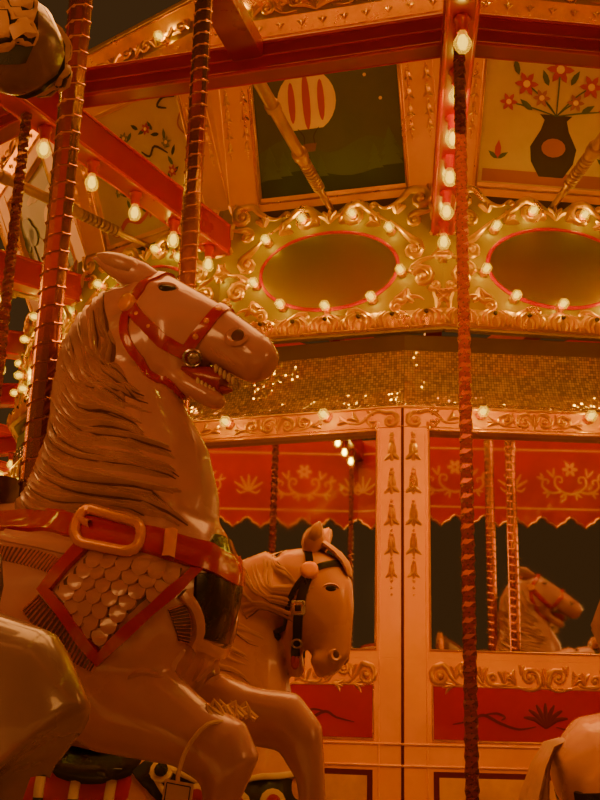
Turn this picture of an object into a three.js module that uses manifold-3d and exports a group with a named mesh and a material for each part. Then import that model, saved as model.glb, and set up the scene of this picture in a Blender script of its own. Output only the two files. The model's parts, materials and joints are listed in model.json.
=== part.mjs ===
// Fairground carousel: a fixed mirrored centre house, a turning frame of sixteen sweeps that carries
// the platform, the shield ring and the painted top, and three rows of horses on brass poles.
// Millimetres, +Z up, origin on the turning axis at ground level. The horses near -Y face +X.
import * as THREE from "three";
import { mergeVertices } from "three/addons/utils/BufferGeometryUtils.js";
import Module from "manifold-3d";

// Driving dimensions
const BAYS = 16;
const BAY_ANGLE = (2 * Math.PI) / BAYS;
const APOTHEM_SHARE = Math.cos(BAY_ANGLE / 2);
const GAP = 0.3;

const HOUSE_TURN = THREE.MathUtils.degToRad(-3.65);
const HOUSE_APOTHEM = 2900;
const HOUSE_WALL = 80;
const BASE_HEIGHT = 150;
const LOWER_WALL_TOP = 1171;
const RED_WALL_TOP = 1600;
const WINDOW_BOTTOM = 1636;
const WINDOW_TOP = 2557;
const WINDOW_WIDTH = 918;
const HEADER_TOP = 2667;
const COVE_TOP = 2980;
const COVE_APOTHEM = 2735;
const HOUSE_TOP = 3055;

const MAST_RADIUS = 150;
const MAST_FLANGE_RADIUS = 300;
const HUB_RADIUS = 420;
const HUB_BOTTOM = 3500;
const HUB_TOP = 3800;

const SWEEP_WIDTH = 93;
const SWEEP_BOTTOM = 3540;
const SWEEP_TOP = 3700;
const SWEEP_END = 7235;

const SHIELD_APOTHEM = 2760;
const SHIELD_THICKNESS = 40;
const SHIELD_BOTTOM = 3072;
const SHIELD_TOP = 3790;

const SHAFT_HEIGHT = 3745;
const SHAFT_RADIUS = 26;
const SHAFT_RING_APOTHEM = 2600;
const SHAFT_RING_WIDTH = 100;
const PANEL_THICKNESS = 60;
const PILASTER_THICKNESS = 36;
const PANEL_TOP = 4560;
const PANEL_LEAN = 330;
const CORNICE_TOP = 4800;

const RAIL_BOTTOM = SWEEP_TOP + GAP;
const RAIL_TOP = 3830;
const RAIL_WIDTH = 75;

const INNER_ROW = { radius: 4460, scale: 0.93, forward: 0 };
const MIDDLE_ROW = { radius: 5270, scale: 1, forward: 0 };
const OUTER_ROW = { radius: 6450, scale: 1.06, forward: 100 };
const POLE_RADIUS = 30;
const POLE_PLAY = 0.8;
const POLE_SIDES = 6;
const POLE_LENGTH = 3820;
const POLE_LOWEST = 20;
const STROKE = 400;

const DECK_BOTTOM = 390;
const DECK_TOP = 450;
const DECK_INNER_APOTHEM = 3010;
const DECK_SPLIT_APOTHEM = 5850;
const JOIST_BOTTOM = 250;
const JOIST_WIDTH = 80;
const BEAM_WIDTH = 56;
const INNER_HANGER = 4250;
const OUTER_HANGER = 6900;
const HANGER_RADIUS = 17;
const BOARD_THICKNESS = 30;
const BOARD_BOTTOM = 3060;
const FASCIA_BOTTOM = 230;

const wasm = await Module();
wasm.setup();

// Shape helpers: solids that only join and cut, and geometry that is turned into them
function solidOf(geometry) {
  const bare = geometry.clone();
  bare.deleteAttribute("normal");
  bare.deleteAttribute("uv");
  const merged = mergeVertices(bare, 1e-3);
  return new wasm.Manifold(
    new wasm.Mesh({
      numProp: 3,
      vertProperties: merged.attributes.position.array,
      triVerts: Uint32Array.from(merged.index.array),
    }),
  );
}

function geometryOf(solid) {
  const mesh = solid.getMesh();
  const geometry = new THREE.BufferGeometry();
  geometry.setAttribute("position", new THREE.BufferAttribute(mesh.vertProperties, 3));
  geometry.setIndex(new THREE.BufferAttribute(mesh.triVerts, 1));
  geometry.computeVertexNormals();
  return geometry;
}

function joined(solids) {
  return solids.reduce((whole, piece) => whole.add(piece));
}

// A sixteen-sided ring from a closed outline of [apothem, height] points, anticlockwise
function ring(outline, turn = 0) {
  const corners = outline.map(([apothem, height]) => new THREE.Vector2(apothem / APOTHEM_SHARE, height));
  corners.push(corners[0].clone());
  const geometry = new THREE.LatheGeometry(corners, BAYS, turn);
  geometry.rotateX(Math.PI / 2);
  return solidOf(geometry);
}

function band(inner, outer, bottom, top, turn = 0) {
  return ring([[inner, bottom], [outer, bottom], [outer, top], [inner, top]], turn);
}

// A box that reaches outward from the axis, at a bearing counted from -Y towards +X
function radialBox(inner, outer, width, bottom, top, bearing) {
  const geometry = new THREE.BoxGeometry(width, outer - inner, top - bottom);
  geometry.translate(0, -(inner + outer) / 2, (bottom + top) / 2);
  geometry.rotateZ(bearing);
  return solidOf(geometry);
}

function post(radius, bottom, top, sides, distance = 0, bearing = 0) {
  const geometry = new THREE.CylinderGeometry(radius, radius, top - bottom, sides);
  geometry.rotateX(Math.PI / 2);
  geometry.translate(0, -distance, (bottom + top) / 2);
  geometry.rotateZ(bearing);
  return solidOf(geometry);
}

function everyBay(make, offset = 0) {
  return Array.from({ length: BAYS }, (_, bay) => make((bay + offset) * BAY_ANGLE, bay));
}

const MID_BAY = 0.5;

// Where a radial piece's square end meets the inside of a ring of this end radius
function apothemAtTip(endRadius, width) {
  return endRadius * APOTHEM_SHARE + (width / 2) * Math.sin(BAY_ANGLE / 2) + GAP;
}

const RIM_APOTHEM = apothemAtTip(SWEEP_END, SWEEP_WIDTH);

// Fixed centre house
function baseFrame() {
  const beams = [0, 2, 4, 6].map((bay) =>
    radialBox(-HOUSE_APOTHEM + HOUSE_WALL, HOUSE_APOTHEM - HOUSE_WALL, 160, 0, BASE_HEIGHT, bay * BAY_ANGLE),
  );
  const kerb = band(HOUSE_APOTHEM - 2 * HOUSE_WALL, HOUSE_APOTHEM, 0, BASE_HEIGHT, HOUSE_TURN);
  return joined([kerb, ...beams]);
}

function centreMast() {
  const shaft = post(MAST_RADIUS, BASE_HEIGHT + GAP, HUB_BOTTOM - 20, 16);
  const flange = post(MAST_FLANGE_RADIUS, HUB_BOTTOM - 40, HUB_BOTTOM, 16);
  return joined([shaft, flange]);
}

function houseWall(bottom, top) {
  return band(HOUSE_APOTHEM - HOUSE_WALL, HOUSE_APOTHEM, bottom + GAP, top, HOUSE_TURN);
}

function windowFrame() {
  const frame = band(HOUSE_APOTHEM - 50, HOUSE_APOTHEM, RED_WALL_TOP + GAP, HEADER_TOP, HOUSE_TURN);
  const openings = everyBay(
    (bearing) =>
      radialBox(
        HOUSE_APOTHEM - 200, HOUSE_APOTHEM + 100, WINDOW_WIDTH,
        WINDOW_BOTTOM, WINDOW_TOP, bearing + HOUSE_TURN,
      ),
    MID_BAY,
  );
  return frame.subtract(joined(openings));
}

function mirrorBand() {
  const face = HOUSE_APOTHEM - 50 - GAP;
  return band(face - 12, face, RED_WALL_TOP + GAP, WINDOW_TOP + 50, HOUSE_TURN);
}

function mirrorCove() {
  const inner = COVE_APOTHEM - 60;
  return ring(
    [
      [inner, HEADER_TOP + GAP],
      [HOUSE_APOTHEM, HEADER_TOP + GAP],
      [2838, 2706],
      [2782, 2775],
      [2748, 2870],
      [COVE_APOTHEM, COVE_TOP],
      [inner, COVE_TOP],
    ],
    HOUSE_TURN,
  );
}

function houseCap() {
  const inner = MAST_RADIUS + 30;
  const lidBottom = HOUSE_TOP - 35;
  return ring(
    [
      [inner, lidBottom],
      [COVE_APOTHEM - 80, lidBottom],
      [COVE_APOTHEM - 80, COVE_TOP + GAP],
      [COVE_APOTHEM, COVE_TOP + GAP],
      [COVE_APOTHEM, HOUSE_TOP],
      [inner, HOUSE_TOP],
    ],
    HOUSE_TURN,
  );
}

// Turning frame
function hubAndSweeps() {
  const hub = post(HUB_RADIUS, HUB_BOTTOM + GAP, HUB_TOP, BAYS);
  const sweeps = everyBay((bearing) => radialBox(300, SWEEP_END, SWEEP_WIDTH, SWEEP_BOTTOM, SWEEP_TOP, bearing));
  return joined([hub, ...sweeps]);
}

// One side of the shield top, from the shaft notch out to the corner scroll, as [across, height]
const SHIELD_SIDE = [
  [34, 3712],
  [60, SHIELD_TOP],
  [430, SHIELD_TOP],
  [472, SWEEP_BOTTOM - 20],
];

function shieldRing() {
  const inner = SHIELD_APOTHEM - SHIELD_THICKNESS;
  const boards = band(inner, SHIELD_APOTHEM, SHIELD_BOTTOM, SWEEP_BOTTOM - GAP);
  const left = SHIELD_SIDE.map(([across, height]) => new THREE.Vector2(-across, height)).reverse();
  const right = SHIELD_SIDE.map(([across, height]) => new THREE.Vector2(across, height));
  const crest = new THREE.Shape([...left, ...right]);
  const crests = everyBay((bearing) => {
    const geometry = new THREE.ExtrudeGeometry(crest, { depth: SHIELD_THICKNESS, bevelEnabled: false });
    geometry.rotateX(Math.PI / 2);
    geometry.translate(0, -inner, 0);
    geometry.rotateZ(bearing);
    return solidOf(geometry);
  }, MID_BAY);
  return joined([boards, ...crests]);
}

function shieldTrim() {
  return ring([
    [SHIELD_APOTHEM + GAP, 3085],
    [SHIELD_APOTHEM + 30, 3085],
    [SHIELD_APOTHEM + 40, 3120],
    [SHIELD_APOTHEM + 25, 3165],
    [SHIELD_APOTHEM + GAP, 3165],
  ]);
}

function crankShafts() {
  const outer = SHAFT_RING_APOTHEM + SHAFT_RING_WIDTH;
  const bearingRing = band(SHAFT_RING_APOTHEM, outer, RAIL_BOTTOM, SHIELD_TOP);
  const shaftEnd = INNER_RAIL_APOTHEM - GAP;
  const shafts = everyBay((bearing) => {
    const geometry = new THREE.CylinderGeometry(SHAFT_RADIUS, SHAFT_RADIUS, shaftEnd - outer + 20, 6);
    geometry.translate(0, -(shaftEnd + outer - 20) / 2, SHAFT_HEIGHT);
    geometry.rotateZ(bearing);
    return solidOf(geometry);
  }, MID_BAY);
  return joined([bearingRing, ...shafts]);
}

// A leaning wall between two apothems at its foot
function leaningWall(inner, outer, top) {
  const foot = SHIELD_TOP + GAP;
  const lean = (PANEL_LEAN * (top - foot)) / (PANEL_TOP - foot);
  return ring([[inner, foot], [outer, foot], [outer + lean, top], [inner + lean, top]]);
}

const PANEL_FOOT = SHAFT_RING_APOTHEM + PANEL_THICKNESS;

function paintedPanels() {
  return leaningWall(SHAFT_RING_APOTHEM, PANEL_FOOT, PANEL_TOP);
}

function pilasters() {
  const inner = PANEL_FOOT + GAP;
  const wall = leaningWall(inner, inner + PILASTER_THICKNESS, PANEL_TOP);
  const openingWidth = 740;
  const openingBottom = 3850;
  const openings = everyBay(
    (bearing) => radialBox(inner - 100, inner + 500, openingWidth, openingBottom, PANEL_TOP - 70, bearing),
    MID_BAY,
  );
  return wall.subtract(joined(openings));
}

function cornice() {
  const inner = SHAFT_RING_APOTHEM + PANEL_LEAN;
  const foot = PANEL_TOP + GAP;
  return ring([
    [inner, foot],
    [inner + 110, foot],
    [inner + 150, foot + 70],
    [inner + 150, foot + 140],
    [inner + 205, foot + 200],
    [inner + 205, CORNICE_TOP],
    [inner, CORNICE_TOP],
  ]);
}

const INNER_RAIL_APOTHEM = 3925;
const MIDDLE_RAIL_APOTHEM = 5100;
const GUIDE_WIDTH = 120;
const GUIDE_BOTTOM = 3760;

// A rail that lies on the sweeps, with a guide reaching out to each pole of its row
function guideRail(apothem, row) {
  const rail = band(apothem, apothem + RAIL_WIDTH, RAIL_BOTTOM, RAIL_TOP);
  const guides = everyBay((bearing) => {
    const arm = radialBox(apothem + 20, row.radius + 60, GUIDE_WIDTH, GUIDE_BOTTOM, RAIL_TOP, bearing);
    const bore = post(POLE_RADIUS + POLE_PLAY, GUIDE_BOTTOM - 50, RAIL_TOP + 50, POLE_SIDES, row.radius, bearing);
    return arm.subtract(bore);
  }, MID_BAY);
  return joined([rail, ...guides]);
}

function outerRail() {
  return band(OUTER_ROW.radius - RAIL_WIDTH / 2, OUTER_ROW.radius + RAIL_WIDTH / 2, RAIL_BOTTOM, RAIL_TOP);
}

function roundingBoards() {
  return ring([
    [RIM_APOTHEM, BOARD_BOTTOM],
    [RIM_APOTHEM + BOARD_THICKNESS, BOARD_BOTTOM],
    [RIM_APOTHEM + BOARD_THICKNESS, 3640],
    [RIM_APOTHEM + 60, 3670],
    [RIM_APOTHEM + 60, 3720],
    [RIM_APOTHEM, 3720],
  ]);
}

// Platform: beams, joists and hanger rods are one welded frame, and the decks lie on it
function beamApothem(hangerRadius) {
  return hangerRadius * APOTHEM_SHARE;
}

function platformFrame() {
  const rings = [INNER_HANGER, OUTER_HANGER].map((radius) =>
    band(beamApothem(radius) - BEAM_WIDTH / 2, beamApothem(radius) + BEAM_WIDTH / 2, JOIST_BOTTOM, DECK_TOP),
  );
  const joistEnd = (RIM_APOTHEM - GAP - (JOIST_WIDTH / 2) * Math.sin(BAY_ANGLE / 2)) / APOTHEM_SHARE;
  const joists = everyBay((bearing) =>
    radialBox(INNER_HANGER - 10, joistEnd, JOIST_WIDTH, JOIST_BOTTOM, DECK_BOTTOM - GAP, bearing),
  );
  const rods = [INNER_HANGER, OUTER_HANGER].flatMap((radius) =>
    everyBay((bearing) => post(HANGER_RADIUS, DECK_TOP - 20, SWEEP_BOTTOM - GAP, 6, radius, bearing)),
  );
  return joined([...rings, ...joists, ...rods]);
}

function deckRing(inner, outer) {
  return band(inner, outer, DECK_BOTTOM, DECK_TOP);
}

function innerDeck() {
  return deckRing(DECK_INNER_APOTHEM, beamApothem(INNER_HANGER) - BEAM_WIDTH / 2 - GAP);
}

function middleDeck() {
  const deck = deckRing(beamApothem(INNER_HANGER) + BEAM_WIDTH / 2 + GAP, DECK_SPLIT_APOTHEM);
  const bores = [INNER_ROW, MIDDLE_ROW].flatMap((row) =>
    everyBay(
      (bearing) => post(POLE_RADIUS + POLE_PLAY, DECK_BOTTOM - 50, DECK_TOP + 50, POLE_SIDES, row.radius, bearing),
      MID_BAY,
    ),
  );
  return deck.subtract(joined(bores));
}

function platformEdge() {
  const outer = RIM_APOTHEM + BOARD_THICKNESS;
  const inner = beamApothem(OUTER_HANGER) + BEAM_WIDTH / 2 + GAP;
  return ring([
    [inner, DECK_BOTTOM],
    [RIM_APOTHEM, DECK_BOTTOM],
    [RIM_APOTHEM, FASCIA_BOTTOM],
    [outer, FASCIA_BOTTOM],
    [outer, DECK_TOP],
    [inner, DECK_TOP],
  ]);
}

// Horses: side outlines in [forward, height above the deck] at mid stroke, for a full-size horse
const TORSO = [
  [-740, 1000], [-600, 790], [-200, 690], [140, 640], [410, 700], [500, 860], [500, 990], [430, 1140],
  [0, 1150], [-300, 1130], [-600, 1210], [-720, 1140],
];
const NECK_RAISED = [
  [40, 1100], [460, 1050], [430, 1240], [330, 1370], [430, 1330], [560, 1390], [580, 1460], [300, 1680],
  [160, 1670], [40, 1480],
];
const NECK_ARCHED = [
  [20, 1100], [460, 1020], [390, 1240], [390, 1330], [480, 1285], [575, 1330], [595, 1540], [470, 1680],
  [240, 1670], [60, 1440],
];
const NECK_HIGH = [
  [40, 1100], [480, 1050], [440, 1250], [350, 1430], [450, 1440], [575, 1460], [600, 1530], [330, 1750],
  [180, 1740], [40, 1500],
];
const FORELEG_BENT = [[140, 650], [330, 790], [500, 690], [565, 620], [470, 410], [320, 370], [430, 560]];
const FORELEG_REACHING = [[200, 660], [400, 770], [640, 720], [690, 650], [700, 340], [620, 340], [600, 600]];
const FORELEG_RAISED = [[140, 700], [350, 920], [590, 895], [635, 830], [420, 540], [350, 600], [480, 750]];
const FORELEG_STANDING = [[180, 700], [380, 800], [440, 600], [400, 340], [320, 340], [320, 600]];
const HINDLEG_BACK = [[-600, 900], [-790, 400], [-700, 370], [-330, 820]];
const HINDLEG_UNDER = [[-560, 900], [-600, 360], [-500, 350], [-260, 810]];
const TAIL = [[-700, 1110], [-800, 1040], [-850, 700], [-760, 620], [-660, 950]];
const CARVINGS = new Map([
  [INNER_ROW, { neck: NECK_ARCHED, nearForeleg: FORELEG_BENT, farForeleg: FORELEG_REACHING }],
  [MIDDLE_ROW, { neck: NECK_RAISED, nearForeleg: FORELEG_BENT, farForeleg: FORELEG_REACHING }],
  [OUTER_ROW, { neck: NECK_HIGH, nearForeleg: FORELEG_RAISED, farForeleg: FORELEG_STANDING }],
]);

function slab(outline, centre, thickness) {
  const shape = new THREE.Shape(outline.map(([forward, height]) => new THREE.Vector2(forward, height)));
  const geometry = new THREE.ExtrudeGeometry(shape, { depth: thickness, bevelEnabled: false });
  geometry.translate(0, 0, -thickness / 2);
  geometry.rotateX(Math.PI / 2);
  geometry.translate(0, centre, 0);
  return solidOf(geometry);
}

function horseBody(row) {
  const legSide = 105;
  const legThickness = 80;
  const carving = CARVINGS.get(row);
  const pieces = [
    slab(TORSO, 0, 330),
    slab(carving.neck, 0, 140),
    slab(carving.nearForeleg, -legSide, legThickness),
    slab(carving.farForeleg, legSide, legThickness),
    slab(HINDLEG_BACK, -legSide, legThickness),
    slab(HINDLEG_UNDER, legSide, legThickness),
    slab(TAIL, 0, 90),
  ];
  return joined(pieces).scale([row.scale, row.scale, row.scale]).translate([row.forward, 0, 0]);
}

// A horse and the pole it is bolted to, lifted from mid stroke and set out at its place in its row
function mountedHorse(row, lift, poleBottom, poleTop) {
  const pole = post(POLE_RADIUS, poleBottom, poleTop, POLE_SIDES);
  const horse = horseBody(row).translate([0, 0, DECK_TOP + lift]);
  return horse.add(pole);
}

function placed(solid, row, bearing) {
  const cosine = Math.cos(bearing);
  const sine = Math.sin(bearing);
  const x = row.radius * sine;
  const y = -row.radius * cosine;
  return solid.rotate([0, 0, THREE.MathUtils.radToDeg(bearing)]).translate([x, y, 0]);
}

function gallopingHorse(row, high, bearing) {
  const poleBottom = POLE_LOWEST + (high ? STROKE : 0);
  const solid = mountedHorse(row, high ? STROKE / 2 : -STROKE / 2, poleBottom, poleBottom + POLE_LENGTH);
  return placed(solid, row, bearing);
}

// A quarter of the outer deck with its four standing horses, whose poles run up to the outer rail
const QUARTERS = 4;

function outerDeckQuarter(quarter) {
  const inner = DECK_SPLIT_APOTHEM + GAP;
  const outer = beamApothem(OUTER_HANGER) - BEAM_WIDTH / 2 - GAP;
  const reach = 2 * outer;
  const side = reach + GAP;
  const wedge = new THREE.BoxGeometry(reach, reach, 200);
  wedge.translate(side / 2, -side / 2, (DECK_BOTTOM + DECK_TOP) / 2);
  wedge.rotateZ((quarter * 2 * Math.PI) / QUARTERS);
  const deck = deckRing(inner, outer).intersect(solidOf(wedge));
  const horse = mountedHorse(OUTER_ROW, 0, DECK_TOP - 20, SWEEP_TOP);
  const perQuarter = BAYS / QUARTERS;
  const horses = Array.from({ length: perQuarter }, (_, place) =>
    placed(horse, OUTER_ROW, (quarter * perQuarter + place + MID_BAY) * BAY_ANGLE),
  );
  return joined([deck, ...horses]);
}

// Finishes
function finish(color, roughness, metalness = 0) {
  return () => new THREE.MeshStandardMaterial({ color, roughness, metalness });
}

const steel = finish(0x5b564f, 0.5, 0.8);
const creamPaint = finish(0xe9c98f, 0.45);
const redPaint = finish(0xa3160f, 0.35);
const mirror = finish(0xc9ced1, 0.05, 1);
const mosaic = finish(0x8e7a58, 0.15, 0.9);
const brownPaint = finish(0x2c1a10, 0.6);
const greenGoldPaint = finish(0x8d8146, 0.4);
const gilding = finish(0xc8922f, 0.35, 0.8);
const shaftPaint = finish(0xb07a3a, 0.4, 0.5);
const duskPaint = finish(0x3b5a78, 0.5);
const deckBoards = finish(0x7a5130, 0.6);
const horseEnamel = finish(0xe8dcc6, 0.25);

const carousel = new THREE.Group();
carousel.name = "carousel";

function addNode(name, solid, material) {
  const mesh = new THREE.Mesh(geometryOf(solid), material());
  mesh.name = name;
  carousel.add(mesh);
}

addNode("base_frame", baseFrame(), steel);
addNode("centre_mast", centreMast(), steel);
addNode("lower_wall", houseWall(BASE_HEIGHT, LOWER_WALL_TOP), creamPaint);
addNode("red_panel_wall", houseWall(LOWER_WALL_TOP, RED_WALL_TOP), redPaint);
addNode("window_frame", windowFrame(), creamPaint);
addNode("mirror_band", mirrorBand(), mirror);
addNode("mirror_cove", mirrorCove(), mosaic);
addNode("house_cap", houseCap(), brownPaint);

addNode("hub_and_sweeps", hubAndSweeps(), redPaint);
addNode("shield_ring", shieldRing(), greenGoldPaint);
addNode("shield_trim", shieldTrim(), gilding);
addNode("crank_shafts", crankShafts(), shaftPaint);
addNode("painted_panels", paintedPanels(), duskPaint);
addNode("pilasters", pilasters(), creamPaint);
addNode("cornice", cornice(), gilding);
addNode("inner_rail", guideRail(INNER_RAIL_APOTHEM, INNER_ROW), redPaint);
addNode("middle_rail", guideRail(MIDDLE_RAIL_APOTHEM, MIDDLE_ROW), redPaint);
addNode("outer_rail", outerRail(), redPaint);
addNode("rounding_boards", roundingBoards(), redPaint);
addNode("platform_frame", platformFrame(), steel);
addNode("inner_deck", innerDeck(), deckBoards);
addNode("middle_deck", middleDeck(), deckBoards);
addNode("platform_edge", platformEdge(), redPaint);
for (let quarter = 0; quarter < QUARTERS; quarter += 1) {
  addNode("outer_deck_" + (quarter + 1), outerDeckQuarter(quarter), deckBoards);
}

// Bays in pairs: the two beside -Y rise together, the next pair falls, and so on round the ring
function isGroupA(bay) {
  return Math.floor(((bay + 1) % BAYS) / 2) % 2 === 0;
}

everyBay((bearing, bay) => {
  const number = String(bay + 1).padStart(2, "0");
  const groupA = isGroupA(bay);
  addNode("middle_horse_" + number, gallopingHorse(MIDDLE_ROW, groupA, bearing), horseEnamel);
  addNode("inner_horse_" + number, gallopingHorse(INNER_ROW, !groupA, bearing), horseEnamel);
}, MID_BAY);

export default carousel;
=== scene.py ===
import json
import math
import random

import bmesh
import bpy
from mathutils import Matrix, Vector
from mathutils.bvhtree import BVHTree

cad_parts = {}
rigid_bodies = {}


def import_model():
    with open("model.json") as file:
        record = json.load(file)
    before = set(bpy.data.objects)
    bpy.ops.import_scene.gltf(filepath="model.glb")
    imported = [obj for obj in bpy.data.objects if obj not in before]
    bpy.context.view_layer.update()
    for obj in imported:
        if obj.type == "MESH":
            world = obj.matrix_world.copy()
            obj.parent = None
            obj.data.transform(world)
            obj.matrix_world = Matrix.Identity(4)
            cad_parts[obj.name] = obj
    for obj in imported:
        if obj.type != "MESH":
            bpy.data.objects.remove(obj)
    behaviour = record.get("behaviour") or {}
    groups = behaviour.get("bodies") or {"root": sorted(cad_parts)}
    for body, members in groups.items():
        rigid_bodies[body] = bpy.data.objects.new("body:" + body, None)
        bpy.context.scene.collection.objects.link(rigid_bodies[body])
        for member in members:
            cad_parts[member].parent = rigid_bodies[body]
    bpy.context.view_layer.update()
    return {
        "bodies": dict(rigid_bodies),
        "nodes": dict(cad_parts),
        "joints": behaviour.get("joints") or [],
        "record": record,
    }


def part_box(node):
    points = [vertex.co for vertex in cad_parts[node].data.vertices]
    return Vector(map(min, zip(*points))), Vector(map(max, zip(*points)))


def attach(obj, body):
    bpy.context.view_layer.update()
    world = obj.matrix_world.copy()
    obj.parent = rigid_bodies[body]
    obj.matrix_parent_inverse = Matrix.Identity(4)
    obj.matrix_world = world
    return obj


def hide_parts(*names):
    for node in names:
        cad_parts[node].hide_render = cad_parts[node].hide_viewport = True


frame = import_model()
bays = 16
bayAngle = 2 * math.pi / bays
midBay = bayAngle / 2
apothemShare = math.cos(midBay)
faceSlope = math.tan(midBay)   # half a face over its apothem
houseTurn = math.radians(-3.65)
houseMid = midBay + houseTurn
turningBody, houseBody = "turning_frame", "centre_house"
print("frame loaded")


# Places read from the frame
def ringApothem(node, turn=0.0):
    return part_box(node)[1].x / math.cos(turn) * apothemShare


# A face of a ring: x across, y into the wall, z up
def faceMatrix(bearing, apothem, height=0.0, lean=0.0):
    turn = Matrix.Rotation(bearing, 4, "Z")
    place = Matrix.Translation((0, -apothem, height))
    return turn @ place @ Matrix.Rotation(lean, 4, "X")


# Camera: the photograph's place, just outside the platform's edge
camera = {"place": (-0.208, -7.542, 1.300), "heading": 5.31, "pitch": 16.79, "roll": 1.57,
          "focalPixels": 1100, "imageHeight": 800, "sensor": 36}


def addCamera(spec):
    data = bpy.data.cameras.new("camera")
    eye = bpy.data.objects.new("camera", data)
    bpy.context.scene.collection.objects.link(eye)
    data.sensor_width = spec["sensor"]
    data.lens = spec["focalPixels"] / spec["imageHeight"] * spec["sensor"]
    data.clip_start = 0.05
    data.clip_end = 200
    heading, pitch, roll = (math.radians(spec[key]) for key in ("heading", "pitch", "roll"))
    stand = Matrix.Rotation(heading, 4, "Z") @ Matrix.Rotation(math.pi / 2 + pitch, 4, "X")
    eye.matrix_world = Matrix.Translation(spec["place"]) @ stand @ Matrix.Rotation(roll, 4, "Z")
    bpy.context.scene.camera = eye


addCamera(camera)


# Shader nodes: an input is given a number, a colour or another node's output
def setInput(tree, socket, value):
    if hasattr(value, "links"):
        tree.links.new(value, socket)
    else:
        socket.default_value = value


def addNode(tree, kind, inputs, **settings):
    node = tree.nodes.new("ShaderNode" + kind)
    for key, value in settings.items():
        setattr(node, key, value)
    for key, value in inputs.items():
        setInput(tree, node.inputs[key], value)
    return node.outputs


def calc(tree, operation, *values, **settings):
    return addNode(tree, "Math", dict(enumerate(values)), operation=operation, **settings)[0]


def addRamp(tree, factor, setting, values):
    ramp = tree.nodes.new("ShaderNodeValToRGB")
    setInput(tree, ramp.inputs["Fac"], factor)
    for element, value in zip(ramp.color_ramp.elements, values):
        setattr(element, setting, value)
    return ramp.outputs["Color"]


def addGroup(tree, group, values):
    node = tree.nodes.new("ShaderNodeGroup")
    node.node_tree = group
    for socket, value in zip(node.inputs, values):
        socket.default_value = value
    return node.outputs


def objectPlace(tree):
    return addNode(tree, "TexCoord", {})["Object"]


def newGroup(name, inputs, outputs):
    group = bpy.data.node_groups.new(name, "ShaderNodeTree")
    for label, kind, value in inputs:
        socket = group.interface.new_socket(name=label, in_out="INPUT", socket_type="NodeSocket" + kind)
        socket.default_value = value
    for label, kind in outputs:
        group.interface.new_socket(name=label, in_out="OUTPUT", socket_type="NodeSocket" + kind)
    return group, group.nodes.new("NodeGroupInput").outputs, group.nodes.new("NodeGroupOutput").inputs


def makeAgedPaint():
    group, start, end = newGroup(
        "stainedShadedPaint",
        [("Base", "Color", (1, 1, 1, 1)), ("Stain", "Color", (0.5, 0.4, 0.3, 1)), ("Scale", "Float", 3.0),
         ("Stain Amount", "Float", 0.4), ("Crevice Shade Amount", "Float", 0.5), ("Roughness", "Float", 0.4)],
        [("Color", "Color"), ("Roughness", "Float"), ("Height", "Float")])
    place = objectPlace(group)
    cloud = addNode(group, "TexNoise",
                    {"Vector": place, "Scale": start["Scale"], "Detail": 6.0, "Roughness": 0.6})
    patches = addRamp(group, cloud["Fac"], "position", (0.42, 0.72))
    # Painted shade: hollows and creases, found by Pointiness, are blended towards the stain colour together
    # with the stain patches
    sharpness = addNode(group, "NewGeometry", {})["Pointiness"]
    creviceShadeMask = addNode(group, "MapRange", {"From Min": 0.5, "From Max": 0.42, "Value": sharpness})["Result"]
    stainAndShadeAmount = calc(group, "ADD", calc(group, "MULTIPLY", patches, start["Stain Amount"]),
                 calc(group, "MULTIPLY", creviceShadeMask, start["Crevice Shade Amount"]), use_clamp=True)
    blend = addNode(group, "Mix", {"Factor": stainAndShadeAmount, "A": start["Base"], "B": start["Stain"]},
                    data_type="RGBA")
    fine = addNode(group, "TexNoise", {"Vector": place, "Scale": 90.0, "Detail": 3.0})
    setInput(group, end["Color"], blend["Result"])
    setInput(group, end["Roughness"], calc(group, "MULTIPLY_ADD", cloud["Fac"], 0.22, start["Roughness"]))
    setInput(group, end["Height"], fine["Fac"])
    return group


def makeTileGrid():
    group, start, end = newGroup(
        "tileGrid",
        [("Tile", "Float", 0.012), ("Apothem", "Float", 2.8), ("Turn", "Float", 0.0), ("Tilt", "Float", 0.1)],
        [("Grout", "Float"), ("Shade", "Float"), ("Normal", "Vector")])

    def sums(operation, *values):
        return calc(group, operation, *values)

    split = addNode(group, "SeparateXYZ", {0: objectPlace(group)})
    turned = sums("SUBTRACT", sums("ARCTAN2", split["X"], sums("MULTIPLY", split["Y"], -1.0)), start["Turn"])
    inFace = sums("SUBTRACT", sums("FLOORED_MODULO", turned, bayAngle), midBay)
    across = sums("MULTIPLY", sums("TANGENT", inFace), start["Apothem"])
    column = sums("DIVIDE", across, start["Tile"])
    row = sums("DIVIDE", split["Z"], start["Tile"])
    cell = addNode(group, "CombineXYZ", {"X": sums("FLOOR", column), "Y": sums("FLOOR", row),
                                         "Z": sums("FLOOR", sums("DIVIDE", turned, bayAngle))})
    chance = addNode(group, "TexWhiteNoise", {"Vector": cell[0]})
    fromMiddle = [sums("ABSOLUTE", sums("SUBTRACT", sums("FRACT", at), 0.5)) for at in (column, row)]
    centred = addNode(group, "VectorMath", {0: chance["Color"], 1: (0.5, 0.5, 0.5)}, operation="SUBTRACT")[0]
    spread = addNode(group, "VectorMath", {0: centred, "Scale": start["Tilt"]}, operation="SCALE")[0]
    facing = addNode(group, "NewGeometry", {})["Normal"]
    tilted = addNode(group, "VectorMath", {0: facing, 1: spread}, operation="ADD")[0]
    setInput(group, end["Grout"], sums("GREATER_THAN", sums("MAXIMUM", *fromMiddle), 0.43))
    setInput(group, end["Shade"], chance["Value"])
    setInput(group, end["Normal"], addNode(group, "VectorMath", {0: tilted}, operation="NORMALIZE")[0])
    return group


stainedShadedPaint = makeAgedPaint()
tileGrid = makeTileGrid()


def rgba(color):
    return (*color, 1.0)


def newMaterial(name):
    material = bpy.data.materials.new(name)
    material.use_nodes = True
    return material, material.node_tree


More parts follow.
